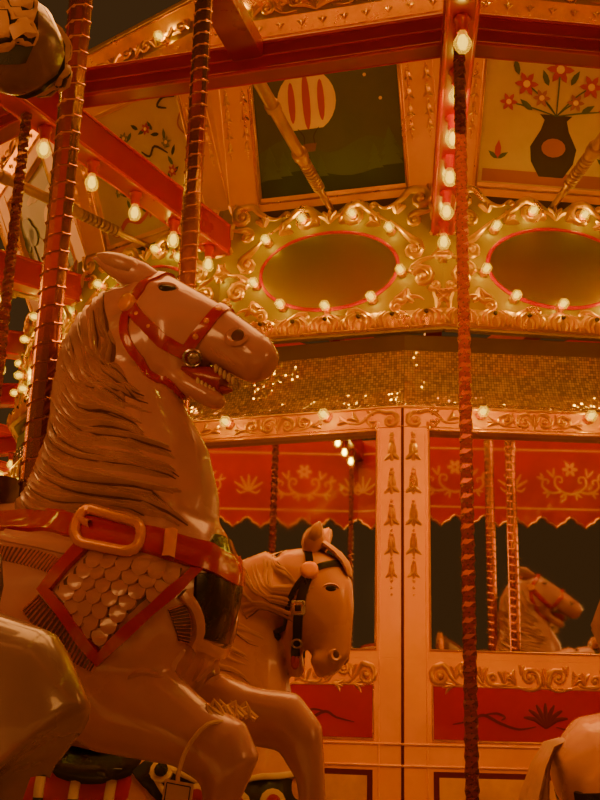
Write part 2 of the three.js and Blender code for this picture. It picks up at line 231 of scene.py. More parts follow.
def setShader(material, **values):
    shader = material.node_tree.nodes["Principled BSDF"]
    for key, value in values.items():
        label = "".join(" " + c if c.isupper() else c for c in key).title()
        setInput(material.node_tree, shader.inputs[label], value)
    return material


def painted(name, base, stainAndShade, scale, stainAmount, wear, roughness, metallic=0.0, coat=0.0, bump=0.15):
    material, tree = newMaterial(name)
    # The stain colour also paints shade into hollows, by the crevice amount
    stainAndShadeLayer = addGroup(tree, stainedShadedPaint, (rgba(base), rgba(stainAndShade), scale, stainAmount, wear, roughness - 0.11))
    relief = addNode(tree, "Bump", {"Strength": bump, "Distance": 0.0006, "Height": stainAndShadeLayer["Height"]})
    return setShader(material, baseColor=stainAndShadeLayer["Color"], roughness=stainAndShadeLayer["Roughness"], normal=relief["Normal"],
                     metallic=metallic, coatWeight=coat, coatRoughness=0.06)


def makeMosaic():
    material, tree = newMaterial("mirror mosaic")
    tiles = addGroup(tree, tileGrid, (0.0125, ringApothem("mirror_cove", houseTurn), houseTurn, 0.14))
    tint = addRamp(tree, tiles["Shade"], "color", ((0.42, 0.24, 0.13, 1), (0.92, 0.6, 0.4, 1)))
    grout = tiles["Grout"]
    joint = addNode(tree, "Mix", {"Factor": grout, "A": tint, "B": (0.05, 0.03, 0.015, 1)}, data_type="RGBA")
    gloss = addNode(tree, "MapRange", {"To Min": 0.06, "To Max": 0.8, "Value": grout})
    return setShader(material, baseColor=joint["Result"], roughness=gloss["Result"],
                     metallic=calc(tree, "SUBTRACT", 0.65, grout), normal=tiles["Normal"])


def makeMirror(name, tint, roughness):
    material, tree = newMaterial(name)
    smear = addNode(tree, "TexNoise", {"Vector": objectPlace(tree), "Scale": 2.5, "Detail": 5.0})["Fac"]
    haze = addNode(tree, "MapRange",
                   {"From Min": 0.45, "To Min": roughness, "To Max": roughness + 0.06, "Value": smear})
    return setShader(material, roughness=haze["Result"], baseColor=rgba(tint), metallic=1.0)


def makeGlow(name, color, core, strength, seen):
    material, tree = newMaterial(name)
    edge = addNode(tree, "LayerWeight", {"Blend": 0.35})["Facing"]
    mix = addNode(tree, "Mix", {"A": rgba(core), "B": rgba(color), "Factor": edge}, data_type="RGBA")
    sight = addNode(tree, "LightPath", {})["Is Camera Ray"]
    power = addNode(tree, "MapRange", {"To Min": strength, "To Max": seen, "Value": sight})
    setShader(material, emissionStrength=seen)
    return setShader(material, emissionColor=mix["Result"], emissionStrength=power["Result"],
                     baseColor=rgba(color),
                     roughness=0.1)


def makeGlass(name, color, strength, alpha):
    return setShader(newMaterial(name)[0], baseColor=(0.03, 0.015, 0.002, 1), emissionColor=rgba(color),
                     emissionStrength=strength, alpha=alpha, roughness=0.04)


def makeBoards(name, light, dark, boardWidth):
    material, tree = newMaterial(name)
    place = objectPlace(tree)
    stretch, grainPlace = (addNode(tree, "Mapping", {"Vector": place, "Scale": scale})["Vector"]
                           for scale in ((1.0, 1.0 / boardWidth, 1.0), (4.0, 60.0, 60.0)))
    boards = addNode(tree, "TexBrick", {"Vector": stretch, "Scale": 1.0, "Brick Width": 3.0,
                                        "Row Height": 1.0,
                                        "Mortar Size": 0.02, "Color1": rgba(light), "Color2": rgba(dark),
                                        "Mortar": (0.03, 0.02, 0.01, 1)})
    grain = addNode(tree, "TexNoise", {"Vector": grainPlace, "Scale": 1.0, "Detail": 8.0})["Color"]
    shade = addNode(tree, "Mix", {"Factor": 0.7, "A": boards["Color"], "B": grain}, data_type="RGBA",
                    blend_type="MULTIPLY")
    relief = addNode(tree, "Bump", {"Strength": 0.4, "Distance": 0.002, "Height": boards["Fac"]}, invert=True)
    return setShader(material, baseColor=shade["Result"], normal=relief["Normal"], roughness=0.5)


# Paints: colour, stain colour (also the colour of painted shade in hollows), pattern scale, stain amount,
# amount of painted shade in hollows and roughness
creamPaint = painted("cream paint", (0.86, 0.38, 0.02), (0.4, 0.13, 0.008), 1.6, 0.45, 0.9, 0.4, coat=0.15)
redPaint = painted("red paint", (0.58, 0.004, 0.003), (0.2, 0.003, 0.002), 2.2, 0.5, 0.5, 0.4, coat=0.2)
redEnamel = painted("red enamel", (0.4, 0.002, 0.0015), (0.12, 0.002, 0.001), 1.2, 0.4, 0.4, 0.3, coat=0.4)
darkSteel = painted("dark steel", (0.07, 0.055, 0.045), (0.16, 0.07, 0.03), 5.0, 0.4, 0.5, 0.5, metallic=0.6)
brownPaint = painted("dark brown paint", (0.09, 0.04, 0.016), (0.03, 0.014, 0.007), 2.0, 0.5, 0.5, 0.5)
greenGold = painted("green gold paint", (0.36, 0.24, 0.012), (0.15, 0.08, 0.005), 2.6, 0.5, 0.9, 0.4,
                    coat=0.15)
gilding = painted("gilding", (0.98, 0.52, 0.02), (0.12, 0.03, 0.003), 9.0, 0.3, 1.0, 0.3, 0.8, bump=0.06)
shaftPaint = painted("shaft bronze", (0.5, 0.24, 0.07), (0.12, 0.05, 0.02), 6.0, 0.5, 0.6, 0.38, metallic=0.6)
poleBrass = painted("pole brass", (0.72, 0.27, 0.07), (0.14, 0.04, 0.012), 7.0, 0.45, 1.0, 0.22,
                    metallic=0.95)
ropeBrass = painted("rope brass", (0.9, 0.3, 0.05), (0.3, 0.06, 0.012), 9.0, 0.3, 1.0, 0.28, metallic=0.7)
mosaic = makeMosaic()
mirrorGlass = makeMirror("mirror glass", (0.8, 0.76, 0.68), 0.02)
ovalGlass = makeMirror("oval mirror glass", (1.0, 0.78, 0.25), 0.3)
bulbGlow = makeGlow("bulb glow", (1.0, 0.62, 0.035), (1.0, 0.78, 0.06), 50.0, 2.6)
bulbGlass = makeGlass("bulb glass", (1.0, 0.5, 0.01), 1.1, 0.5)
darkRedPaint = painted("dark red paint", (0.12, 0.006, 0.005), (0.05, 0.004, 0.003), 3.0, 0.4, 0.5, 0.45)
tanPaint = painted("tan paint", (0.7, 0.38, 0.16), (0.3, 0.12, 0.04), 6.0, 0.5, 0.8, 0.42)
horseEnamel = painted("horse enamel", (0.64, 0.32, 0.31), (0.34, 0.13, 0.11), 2.4, 0.45, 1.0, 0.26, coat=0.7)
greyEnamel = painted("grey horse enamel", (0.25, 0.13, 0.11), (0.09, 0.045, 0.04), 3.0, 0.5, 1.0, 0.26,
                     coat=0.7)
maneGrey = painted("grey mane paint", (0.14, 0.1, 0.07), (0.05, 0.035, 0.025), 8.0, 0.5, 1.0, 0.3, coat=0.4)
tackGold = painted("gold enamel", (0.9, 0.37, 0.035), (0.3, 0.1, 0.01), 10.0, 0.3, 0.8, 0.34, 0.2, 0.3)
strapRed = painted("strap red", (0.5, 0.003, 0.004), (0.15, 0.002, 0.002), 3.0, 0.4, 0.7, 0.26, coat=0.8)
silverPlate = painted("silver plate", (0.6, 0.56, 0.5), (0.2, 0.17, 0.14), 9.0, 0.3, 0.8, 0.28, metallic=0.9)
paleCream = painted("pale cream paint", (0.72, 0.58, 0.38), (0.3, 0.2, 0.1), 8.0, 0.4, 1.0, 0.3, coat=0.4)
blackPaint = painted("black paint", (0.02, 0.017, 0.02), (0.05, 0.03, 0.02), 4.0, 0.3, 0.5, 0.28, coat=0.4)
navyPaint = painted("navy paint", (0.03, 0.035, 0.07), (0.015, 0.012, 0.02), 4.0, 0.4, 0.5, 0.3, coat=0.4)
leatherBrown = painted("saddle brown", (0.16, 0.06, 0.025), (0.05, 0.02, 0.01), 5.0, 0.4, 0.7, 0.35, coat=0.3)
gumRed = painted("mouth red", (0.42, 0.02, 0.015), (0.2, 0.01, 0.01), 6.0, 0.4, 0.5, 0.3, coat=0.5)
maneBrown = painted("mane paint", (0.58, 0.31, 0.26), (0.2, 0.08, 0.055), 9.0, 0.5, 1.0, 0.3, coat=0.4)
hairShade = painted("hair shade", (0.24, 0.1, 0.065), (0.1, 0.04, 0.022), 9.0, 0.5, 1.0, 0.4, coat=0.2)
tagCard = painted("tag card", (0.78, 0.5, 0.2), (0.5, 0.3, 0.1), 8.0, 0.3, 0.4, 0.6)
stringYellow = painted("string", (0.8, 0.5, 0.16), (0.5, 0.26, 0.06), 20.0, 0.5, 0.6, 0.7)
hoofPaint = painted("hoof paint", (0.12, 0.09, 0.07), (0.05, 0.035, 0.025), 6.0, 0.4, 0.7, 0.3, coat=0.4)
pictureColours = (
    ("dusk", (0.075, 0.085, 0.06), (0.16, 0.13, 0.06)), ("far hill", (0.09, 0.12, 0.05), (0.05, 0.06, 0.03)),
    ("dark hill", (0.035, 0.05, 0.02), (0.02, 0.02, 0.01)), ("leaf", (0.1, 0.14, 0.04), (0.05, 0.06, 0.02)),
    ("pale", (0.86, 0.6, 0.22), (0.6, 0.34, 0.1)), ("red", (0.5, 0.04, 0.02), (0.3, 0.02, 0.01)),
    ("basket", (0.25, 0.1, 0.03), (0.12, 0.05, 0.02)), ("ink", (0.05, 0.03, 0.02), (0.1, 0.05, 0.02)),
    ("cream", (0.62, 0.44, 0.17), (0.4, 0.24, 0.08)), ("rust", (0.42, 0.13, 0.04), (0.25, 0.07, 0.02)),
    ("sage", (0.24, 0.22, 0.08), (0.14, 0.12, 0.04)), ("sky", (0.34, 0.33, 0.2), (0.22, 0.2, 0.1)))
sceneColours = [painted("picture " + name, base, stainAndShade, 4.0, 0.35, 0.3, 0.45, coat=0.1)
                for name, base, stainAndShade in pictureColours]
deckBoards = makeBoards("deck boards", (0.3, 0.15, 0.06), (0.2, 0.09, 0.035), 0.12)

nodeFinish = {
    "base_frame": darkSteel, "centre_mast": darkSteel, "mirror_band": mirrorGlass, "mirror_cove": mosaic,
    "house_cap": brownPaint, "hub_and_sweeps": redEnamel, "shield_ring": greenGold, "shield_trim": gilding,
    "crank_shafts": shaftPaint, "cornice": gilding, "inner_rail": redEnamel, "middle_rail": redEnamel,
    "outer_rail": redEnamel, "rounding_boards": redPaint, "platform_frame": darkSteel,
    "inner_deck": deckBoards, "middle_deck": deckBoards, "platform_edge": redPaint,
}
for nodeName, node in frame["nodes"].items():
    node.data.materials.clear()
    node.data.materials.append(nodeFinish.get(nodeName, creamPaint))
print("materials made")


# Mesh helpers
def moved(x, y, z):
    return Matrix.Translation((x, y, z))


def mixed(a, b, t):
    return a + (b - a) * t


def toMesh(shape, name="part"):
    data = bpy.data.meshes.new(name)
    shape.to_mesh(data)
    shape.free()
    return data


def addMesh(shape, data, place=Matrix(), finish=None):
    if finish is not None:
        index = tackParts.index(finish) if isinstance(finish, str) else finish
        data.polygons.foreach_set("material_index", [index] * len(data.polygons))
    data.transform(place)
    if place.determinant() < 0:
        data.flip_normals()
    shape.from_mesh(data)
    bpy.data.meshes.remove(data)


def joinInto(shape, part, place, finish=0):
    addMesh(shape, toMesh(part), place, finish)


def placeMesh(name, data, materials, body, angle):
    for material in materials:
        data.materials.append(material)
    data.shade_smooth()
    data.set_sharp_from_angle(angle=math.radians(angle))
    piece = bpy.data.objects.new(name, data)
    bpy.context.scene.collection.objects.link(piece)
    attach(piece, body)
    return piece


def addPiece(name, shape, materials, body, angle):
    return placeMesh(name, toMesh(shape, name), materials, body, angle)


def roundBays(shape, copies=bays):
    everything = shape.verts[:] + shape.edges[:] + shape.faces[:]
    bmesh.ops.spin(shape, geom=everything, axis=(0, 0, 1), cent=(0, 0, 0), use_duplicate=True,
                   angle=2 * math.pi * (copies - 1) / copies, steps=copies - 1)


def addTurned(shape, profile, place, segments, finish=0):
    turned = bmesh.new()
    points = [turned.verts.new((radius, 0, height)) for radius, height in profile]
    edges = [turned.edges.new(pair) for pair in zip(points, points[1:])]
    bmesh.ops.spin(turned, geom=points + edges, axis=(0, 0, 1), cent=(0, 0, 0), angle=2 * math.pi,
                   steps=segments, use_merge=True)
    bmesh.ops.remove_doubles(turned, verts=turned.verts, dist=1e-5)
    bmesh.ops.recalc_face_normals(turned, faces=turned.faces)
    joinInto(shape, turned, place, finish)


def addBlock(shape, low, high, place, finish=0, bevel=0.0):
    block = bmesh.new()
    bmesh.ops.create_cube(block, size=1.0)
    bmesh.ops.scale(block, verts=block.verts, vec=Vector(high) - Vector(low))
    bmesh.ops.translate(block, verts=block.verts, vec=(Vector(high) + Vector(low)) / 2)
    if bevel:
        bmesh.ops.bevel(block, geom=block.edges, offset=bevel, offset_type="OFFSET", segments=2, profile=0.5,
                        affect="EDGES", material=-1)
    joinInto(shape, block, place, finish)


def extrudeBy(part, faces, depth):
    moving = bmesh.ops.extrude_face_region(part, geom=faces)["geom"]
    ends = [item for item in moving if isinstance(item, bmesh.types.BMVert)]
    bmesh.ops.translate(part, verts=ends, vec=depth)
    bmesh.ops.recalc_face_normals(part, faces=part.faces)


def addBoard(shape, outline, thick, place, finish=0):
    board = bmesh.new()
    face = board.faces.new([board.verts.new((x, 0, z)) for x, z in outline])
    extrudeBy(board, [face], (0, thick, 0))
    joinInto(shape, board, place, finish)


def addBar(shape, path, radii, place=Matrix(), finish=0, sides=1, closed=False, flat=1.0):
    if isinstance(radii, float):
        radii = [radii] * len(path)
    curve = bpy.data.curves.new("bar", "CURVE")
    curve.dimensions = "3D"
    curve.bevel_depth = 1.0
    curve.bevel_resolution = sides
    curve.use_fill_caps = not closed
    spline = curve.splines.new("POLY")
    spline.points.add(len(path) - 1)
    spline.use_cyclic_u = closed
    for point, at, radius in zip(spline.points, path, radii):
        point.co = (*at, 1)
        point.radius = radius
    holder = bpy.data.objects.new("bar", curve)
    data = bpy.data.meshes.new_from_object(holder)
    bpy.data.objects.remove(holder)
    bpy.data.curves.remove(curve)
    addMesh(shape, data, place @ Matrix.Scale(flat, 4, (0, 1, 0)), finish)


def addRail(shape, half, z, radius, place, finish=0):
    addBar(shape, [(-half, 0, z), (half, 0, z)], radius, place, finish)


def curvePath(points, steps):
    curve = [Vector(p) for p in points]
    path = []
    for span in range(len(curve) - 1):
        p0, p1, p2, p3 = (curve[min(max(span + k, 0), len(curve) - 1)] for k in (-1, 0, 1, 2))
        for i in range(steps + (1 if span == len(curve) - 2 else 0)):
            t = i / steps
            path.append(0.5 * ((2 * p1) + (p2 - p0) * t + (2 * p0 - 5 * p1 + 4 * p2 - p3) * t * t
                               + (3 * p1 - p0 - 3 * p2 + p3) * t ** 3))
    return path


def facePath(points, steps):
    return curvePath([(x, 0, z) for x, z in points], steps)


def swell(count, width, tip=0.15, power=0.8):
    waves = [math.sin(math.pi * (i + 0.4) / (count - 0.2)) for i in range(count)]
    return [width * (tip + (1 - tip) * wave ** power) for wave in waves]


def taper(count, start, end):
    return [mixed(start, end, i / (count - 1)) for i in range(count)]


# Carved strips lie on a face and stand out by flat times their half width
roundSection = [(-1.0, 0.0), (-0.45, 0.92), (0.45, 0.92), (1.0, 0.0)]
leafSection = [(-1.0, 0.0), (0.0, 1.0), (1.0, 0.0)]
flatSection = [(-1.0, 0.0), (1.0, 0.0)]


def fillRows(part, rows):
    for first, second in zip(rows, rows[1:]):
        for k in range(len(first) - 1):
            part.faces.new((first[k], first[k + 1], second[k + 1], second[k]))


def addStrip(shape, path, radii, place, section=flatSection, flat=0.0, finish=0):
    strip = bmesh.new()
    rows = []
    for i, (at, radius) in enumerate(zip(path, radii)):
        before, after = path[max(i - 1, 0)], path[min(i + 1, len(path) - 1)]
        along = Vector((after[0] - before[0], 0, after[2] - before[2])).normalized()
        side = Vector((along.z, 0, -along.x)) * radius
        rows.append([strip.verts.new(Vector(at) + side * across + Vector((0, -radius * flat * out, 0)))
                     for across, out in section])
    fillRows(strip, rows)
    joinInto(shape, strip, place, finish)


def addBall(shape, size, place, finish=0, segments=16, rings=8):
    ball = bmesh.new()
    bmesh.ops.create_uvsphere(ball, u_segments=segments, v_segments=rings, radius=1.0)
    joinInto(shape, ball, place @ Matrix.Diagonal((*size, 1.0)), finish)


def addBead(shape, at, radius, place, finish=0, flat=1.0):
    ball = bmesh.new()
    bmesh.ops.create_icosphere(ball, subdivisions=1, radius=radius)
    joinInto(shape, ball, place @ moved(*at) @ Matrix.Scale(flat, 4, (0, 1, 0)), finish)


# Carved motifs, in face coordinates: across, out (negative), up
scrollShape = {"steps": 12, "flat": 0.9, "inner": 0.16, "power": 0.85, "eye": 1.15}


def addScroll(shape, place, eye, size, start, turns, width, tail=()):
    path, radii = [], []
    for i in range(scrollShape["steps"] + 1):
        t = i / scrollShape["steps"]
        angle = math.radians(start) + turns * 2 * math.pi * t
        reach = size * mixed(1.0, scrollShape["inner"], t ** scrollShape["power"])
        path.append((eye[0] + reach * math.cos(angle), 0, eye[1] + reach * math.sin(angle)))
        radii.append(width * mixed(1.0, 0.5, t))
    if tail:
        lead = facePath([*tail, path[0][::2]], 4)[:-1]
        path = [tuple(p) for p in lead] + path
        radii = taper(len(lead), width * 0.2, width) + radii
    addStrip(shape, path, radii, place, roundSection, scrollShape["flat"])
    addBead(shape, (eye[0], 0, eye[1]), width * scrollShape["eye"], place, 0, scrollShape["flat"])


def addLeaf(shape, points, width, place, finish=0, flat=0.8, steps=3):
    path = facePath(points, steps)
    addStrip(shape, path, swell(len(path), width, 0.08), place, leafSection, flat, finish)


def addFan(shape, foot, count, reach, spread, width, place, lean=0.0, finish=0, flat=0.8, curl=0.25):
    for i in range(count):
        share = i / (count - 1) - 0.5
        angle = math.pi / 2 + lean - share * spread
        bend = angle + share * curl * 2
        mid, tip = [(foot[0] + out * math.cos(turn), foot[1] + out * math.sin(turn))
                    for out, turn in ((0.55 * reach, bend), (reach, angle))]
        addLeaf(shape, [foot, mid, tip], width, place, finish, flat, 2)


def addRingSegment(shape, low, high, finish=0):
    part = bmesh.new()
    corners = [(low[0], low[1]), (high[0], low[1]), (high[0], high[1]), (low[0], high[1])]
    ends = [[part.verts.new((side * apothem * faceSlope, -apothem, z)) for apothem, z in corners]
            for side in (-1, 1)]
    loops = [[part.edges.new((end[i], end[(i + 1) % 4])) for i in range(4)] for end in ends]
    bmesh.ops.bridge_loops(part, edges=loops[0] + loops[1])
    bmesh.ops.recalc_face_normals(part, faces=part.faces)
    joinInto(shape, part, faceMatrix(midBay, 0), finish)


def bothSides(place):
    return [place @ Matrix.Scale(side, 4, (1, 0, 0)) for side in (1, -1)]


print("helpers ready")


# Brass poles with raised spiral bands, and rope-twist hanger rods
pole = {"radius": 0.03, "footRadius": 0.0262, "sides": 12, "pitch": 0.046, "rise": 0.0042, "bandWidth": 0.012,
        "sunk": 0.0006, "stepsPerTurn": 7, "footSlack": 0.012}
hanger = {"radius": 0.0215, "lead": 0.092, "stepsPerLead": 6, "rows": (4.25, 6.9)}
rowRadius = {"middle": 5.27, "inner": 4.46, "outer": 6.45}
stroke = 0.4   # rise and fall of a galloping horse


def makePole(length, plainFoot):
    shape = bmesh.new()
    for radius, start, end in ((pole["footRadius"], 0.0, plainFoot), (pole["radius"], plainFoot, length)):
        if end > start:
            core = bmesh.new()
            bmesh.ops.create_cone(core, cap_ends=True, segments=pole["sides"], radius1=radius, radius2=radius,
                                  depth=end - start)
            joinInto(shape, core, moved(0, 0, (start + end) / 2))
    turns = int((length - plainFoot) / pole["pitch"]) - 1
    strip = bmesh.new()
    section = [(pole["radius"] - pole["sunk"], 0), (pole["radius"] + pole["rise"], pole["bandWidth"] / 2),
               (pole["radius"] - pole["sunk"], pole["bandWidth"])]
    verts = [strip.verts.new((radius, 0, height)) for radius, height in section]
    edges = [strip.edges.new(pair) for pair in zip(verts, verts[1:])]
    bmesh.ops.spin(strip, geom=verts + edges, axis=(0, 0, 1), cent=(0, 0, 0), angle=2 * math.pi * turns,
                   dvec=(0, 0, pole["pitch"] / pole["stepsPerTurn"]), steps=turns * pole["stepsPerTurn"])
    bmesh.ops.recalc_face_normals(strip, faces=strip.faces)
    joinInto(shape, strip, moved(0, 0, plainFoot + 0.004))
    return toMesh(shape)


def addRope(shape, x, y, bottom, top):
    rope = bmesh.new()
    bmesh.ops.create_circle(rope, cap_ends=False, radius=hanger["radius"], segments=4)
    steps = int((top - bottom) / hanger["lead"] * hanger["stepsPerLead"])
    bmesh.ops.spin(rope, geom=rope.verts[:] + rope.edges[:], axis=(0, 0, 1), cent=(0, 0, 0), steps=steps,
                   angle=2 * math.pi * steps / hanger["stepsPerLead"], dvec=(0, 0, (top - bottom) / steps))
    bmesh.ops.recalc_face_normals(rope, faces=rope.faces)
    joinInto(shape, rope, moved(x, y, bottom))


def atBearing(radius, bearing):
    return radius * math.sin(bearing), -radius * math.cos(bearing)


def isGroupA(bay):
    return ((bay + 1) % bays) // 2 % 2 == 0


def rowBody(row, bay):
    return turningBody if row == "outer" else row + "_horses_" + ("a" if isGroupA(bay) else "b")


def horseName(row, bay):
    return row + "_horse_" + str(bay + 1).zfill(2)


deckFoot, deckTop = (corner.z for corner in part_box("inner_deck"))
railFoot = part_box("outer_rail")[0].z
lowestFoot = min(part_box(horseName("middle", bay))[0].z for bay in range(bays))
poleMeshes = {}
for row, radius in rowRadius.items():
    groups = {}
    for bay in range(bays):
        bottom, top, plainFoot = deckTop, railFoot, 0.0
        if row != "outer":
            bottom, top = (corner.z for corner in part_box(horseName(row, bay)))
            plainFoot = round(deckTop - lowestFoot + pole["footSlack"], 4)   # slides in the deck
        length = round(top - bottom, 4)
        if length not in poleMeshes:
            poleMeshes[length] = makePole(length, plainFoot)
        body = rowBody(row, bay)
        if body not in groups:
            groups[body] = bmesh.new()
        place = moved(*atBearing(radius, midBay + bay * bayAngle), bottom)
        addMesh(groups[body], poleMeshes[length].copy(), place)
    for body, shape in groups.items():
        addPiece(row + "_poles_" + body, shape, [poleBrass], body, 30)
print("poles made")

ropes = bmesh.new()
for radius in hanger["rows"]:
    addRope(ropes, *atBearing(radius, 0.0), deckFoot - 0.02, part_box("platform_frame")[1].z)
roundBays(ropes)
addPiece("hanger_rods", ropes, [ropeBrass], turningBody, 50)
print("hangers made")


# Bulbs: a small cup, a glowing core and a thin glass globe
bulbSides = 6
bulbProfiles = [
    [(0.0, 0.0), (0.024, 0.0), (0.026, 0.006), (0.018, 0.02), (0.017, 0.026)], [(0.0, 0.03), (0.011, 0.036),
    (0.015, 0.052), (0.01, 0.068), (0.0, 0.073)], [(0.013, 0.024), (0.02, 0.034), (0.027, 0.05),
    (0.026, 0.066), (0.016, 0.079), (0.0, 0.084)],
]
pearProfiles = [
    [(0.0, 0.0), (0.03, 0.0), (0.031, 0.012), (0.022, 0.02), (0.021, 0.05), (0.019, 0.056)],
    [(0.0, 0.062), (0.012, 0.07), (0.018, 0.095), (0.012, 0.113), (0.0, 0.118)],
    [(0.014, 0.052), (0.017, 0.064), (0.029, 0.086), (0.031, 0.104), (0.021, 0.124), (0.0, 0.132)],
]


def addBulb(shape, place, profiles=bulbProfiles):
    for finish, profile in enumerate(profiles):
        addTurned(shape, profile, place, bulbSides, finish)


def outward(place, x, z):
    return place @ moved(x, 0, z) @ Matrix.Rotation(math.pi / 2, 4, "X")


# Shield boards: an outline with volutes at the top, an oval mirror, bulbs and gilded carving
# A scroll is its eye, size, start in degrees, turns, width and the line that leads in
shield = {
    "apothem": 2.76, "half": 0.5485, "thick": 0.04, "bottom": 3.072, "ovalCentre": 3.408,
    "oval": (0.33, 0.19),
    "ovalSides": 40, "ovalRim": 0.0105, "lowBulb": (0.0, 3.211), "beads": 14,
    "top": [(0.5485, 3.786), (0.495, 3.8), (0.445, 3.803), (0.395, 3.79), (0.36, 3.752), (0.315, 3.725),
            (0.27, 3.712), (0.235, 3.728), (0.2, 3.74), (0.165, 3.76), (0.13, 3.764), (0.085, 3.755),
            (0.045, 3.72), (0.0, 3.69)],
    "bulbs": [(0.125, 3.672), (0.305, 3.58), (0.358, 3.36), (0.22, 3.238)],
    "scrolls": [
        ((0.125, 3.69), 0.062, 80, 1.4, 0.0221, [(0.3, 3.63), (0.25, 3.665), (0.2, 3.7), (0.165, 3.738)]),
        ((0.445, 3.738), 0.055, 110, -1.4, 0.0221,
         [(0.235, 3.735), (0.265, 3.71), (0.31, 3.718), (0.355, 3.748), (0.39, 3.786)]),
        ((0.215, 3.725), 0.02, -30, 1.0, 0.0117), ((0.42, 3.63), 0.035, 90, 1.3, 0.0169,
        [(0.52, 3.7), (0.49, 3.672), (0.455, 3.665)]), ((0.408, 3.478), 0.05, 90, -1.5, 0.0195,
        [(0.3, 3.64), (0.34, 3.6), (0.375, 3.56)]), ((0.455, 3.335), 0.055, 150, -1.5, 0.0208,
        [(0.53, 3.5), (0.515, 3.44), (0.45, 3.42), (0.41, 3.39)]), ((0.51, 3.29), 0.026, 200, 1.2, 0.0156),
        ((0.33, 3.2), 0.032, 30, 1.3, 0.0156, [(0.46, 3.22), (0.43, 3.24), (0.385, 3.24)]),
        ((0.12, 3.172), 0.026, 120, 1.2, 0.013, [(0.26, 3.18), (0.22, 3.165), (0.17, 3.185), (0.14, 3.2)]),
    ],
    "leaves": [(0.5, 3.62, -0.5, 0.1), (0.49, 3.55, -1.1, 0.09), (0.5, 3.44, -1.5, 0.08),
               (0.5, 3.27, -2.3, 0.1), (0.38, 3.285, -3.4, 0.08), (0.25, 3.62, 0.8, 0.07),
               (0.33, 3.67, -0.2, 0.06), (0.5, 3.755, 0.3, 0.06), (0.05, 3.655, -0.9, 0.06)],
}


def addScrolls(shape, place, scrolls):
    for scroll in scrolls:
        addScroll(shape, place, *scroll)


def addFans(shape, place, leaves, count, spread, width):
    for x, z, lean, reach in leaves:
        addFan(shape, (x, z), count, reach, spread, width, place, lean)


def ovalPath(across, up, centre):
    turns = [2 * math.pi * i / 36 for i in range(36)]
    return [(across * math.cos(a), 0, centre + up * math.sin(a)) for a in turns]


def carveShield(shape, place):
    across, up = (reach + 0.008 for reach in shield["oval"])
    addBar(shape, ovalPath(across, up, shield["ovalCentre"]), shield["ovalRim"], place, 1, 1, True, 0.8)
    for at in bothSides(place):
        addScrolls(shape, at, shield["scrolls"])
        addFans(shape, at, shield["leaves"], 3, 1.3, 0.0169)
    addFan(shape, (0, 3.655), 5, 0.075, 1.8, 0.012, place)
    addFan(shape, (0, 3.19), 5, 0.05, 2.4, 0.01, place, math.pi)
    for i in range(shield["beads"]):
        addBead(shape, (mixed(-0.51, 0.51, i / (shield["beads"] - 1)), 0, 3.092), 0.009, place)


def addOval(shape, place):
    disc = bmesh.new()
    bmesh.ops.create_circle(disc, cap_ends=True, radius=1.0, segments=shield["ovalSides"])
    bmesh.ops.scale(disc, verts=disc.verts, vec=(*shield["oval"], 1))
    extrudeBy(disc, disc.faces[:], (0, 0, 0.006))
    joinInto(shape, disc, outward(place, 0, shield["ovalCentre"]), 1)


boards, carving, lamps = bmesh.new(), bmesh.new(), bmesh.new()
facePlace = faceMatrix(midBay, shield["apothem"])
outline = ([(-x, z) for x, z in shield["top"]] + shield["top"][-2::-1]
           + [(shield["half"], shield["bottom"]), (-shield["half"], shield["bottom"])])
addBoard(boards, outline, shield["thick"], facePlace)
addOval(boards, facePlace)
carveShield(carving, facePlace)
for x, z in shield["bulbs"]:
    addBulb(lamps, outward(facePlace, x, z))
    addBulb(lamps, outward(facePlace, -x, z))
addBulb(lamps, outward(facePlace, *shield["lowBulb"]))
for shape in (boards, carving, lamps):
    roundBays(shape)
shieldPiece = addPiece("shield_boards", boards, [greenGold, ovalGlass], turningBody, 30)
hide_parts("shield_ring")
addPiece("shield_carving", carving, [gilding, redPaint], turningBody, 60)
addPiece("shield_bulbs", lamps, [gilding, bulbGlow, bulbGlass], turningBody, 60)
print("shields made")

# Leaves, shells and round studs on the trim below the shields
trim = {"apothem": 2.8, "lobes": 7, "stud": 0.0125, "studHeight": 3.148,
        "leaves": [((0.012, 3.158), (0.043, 3.13), (0.035, 3.082), 0.0145),
                   ((0.03, 3.163), (0.066, 3.128), (0.058, 3.088), 0.0135),
                   ((0.004, 3.135), (0.02, 3.11), (0.012, 3.08), 0.0105)]}
lobes = bmesh.new()
trimPlace = faceMatrix(midBay, trim["apothem"])
trimHalf = trim["apothem"] * faceSlope
for i in range(trim["lobes"]):
    x = mixed(-trimHalf, trimHalf, (i + 0.5) / trim["lobes"])
    addBead(lobes, (x, -0.004, trim["studHeight"]), trim["stud"], trimPlace, 1)
    for side in (-1, 1):
        for *points, width in trim["leaves"]:
            addLeaf(lobes, [(x + side * out, z) for out, z in points], width, trimPlace)
    addFan(lobes, (x + trimHalf / trim["lobes"], 3.128), 3, 0.045, 1.2, 0.0115, trimPlace, math.pi)
roundBays(lobes)
addPiece("trim_carving", lobes, [gilding, brownPaint], turningBody, 60)
print("trim made")


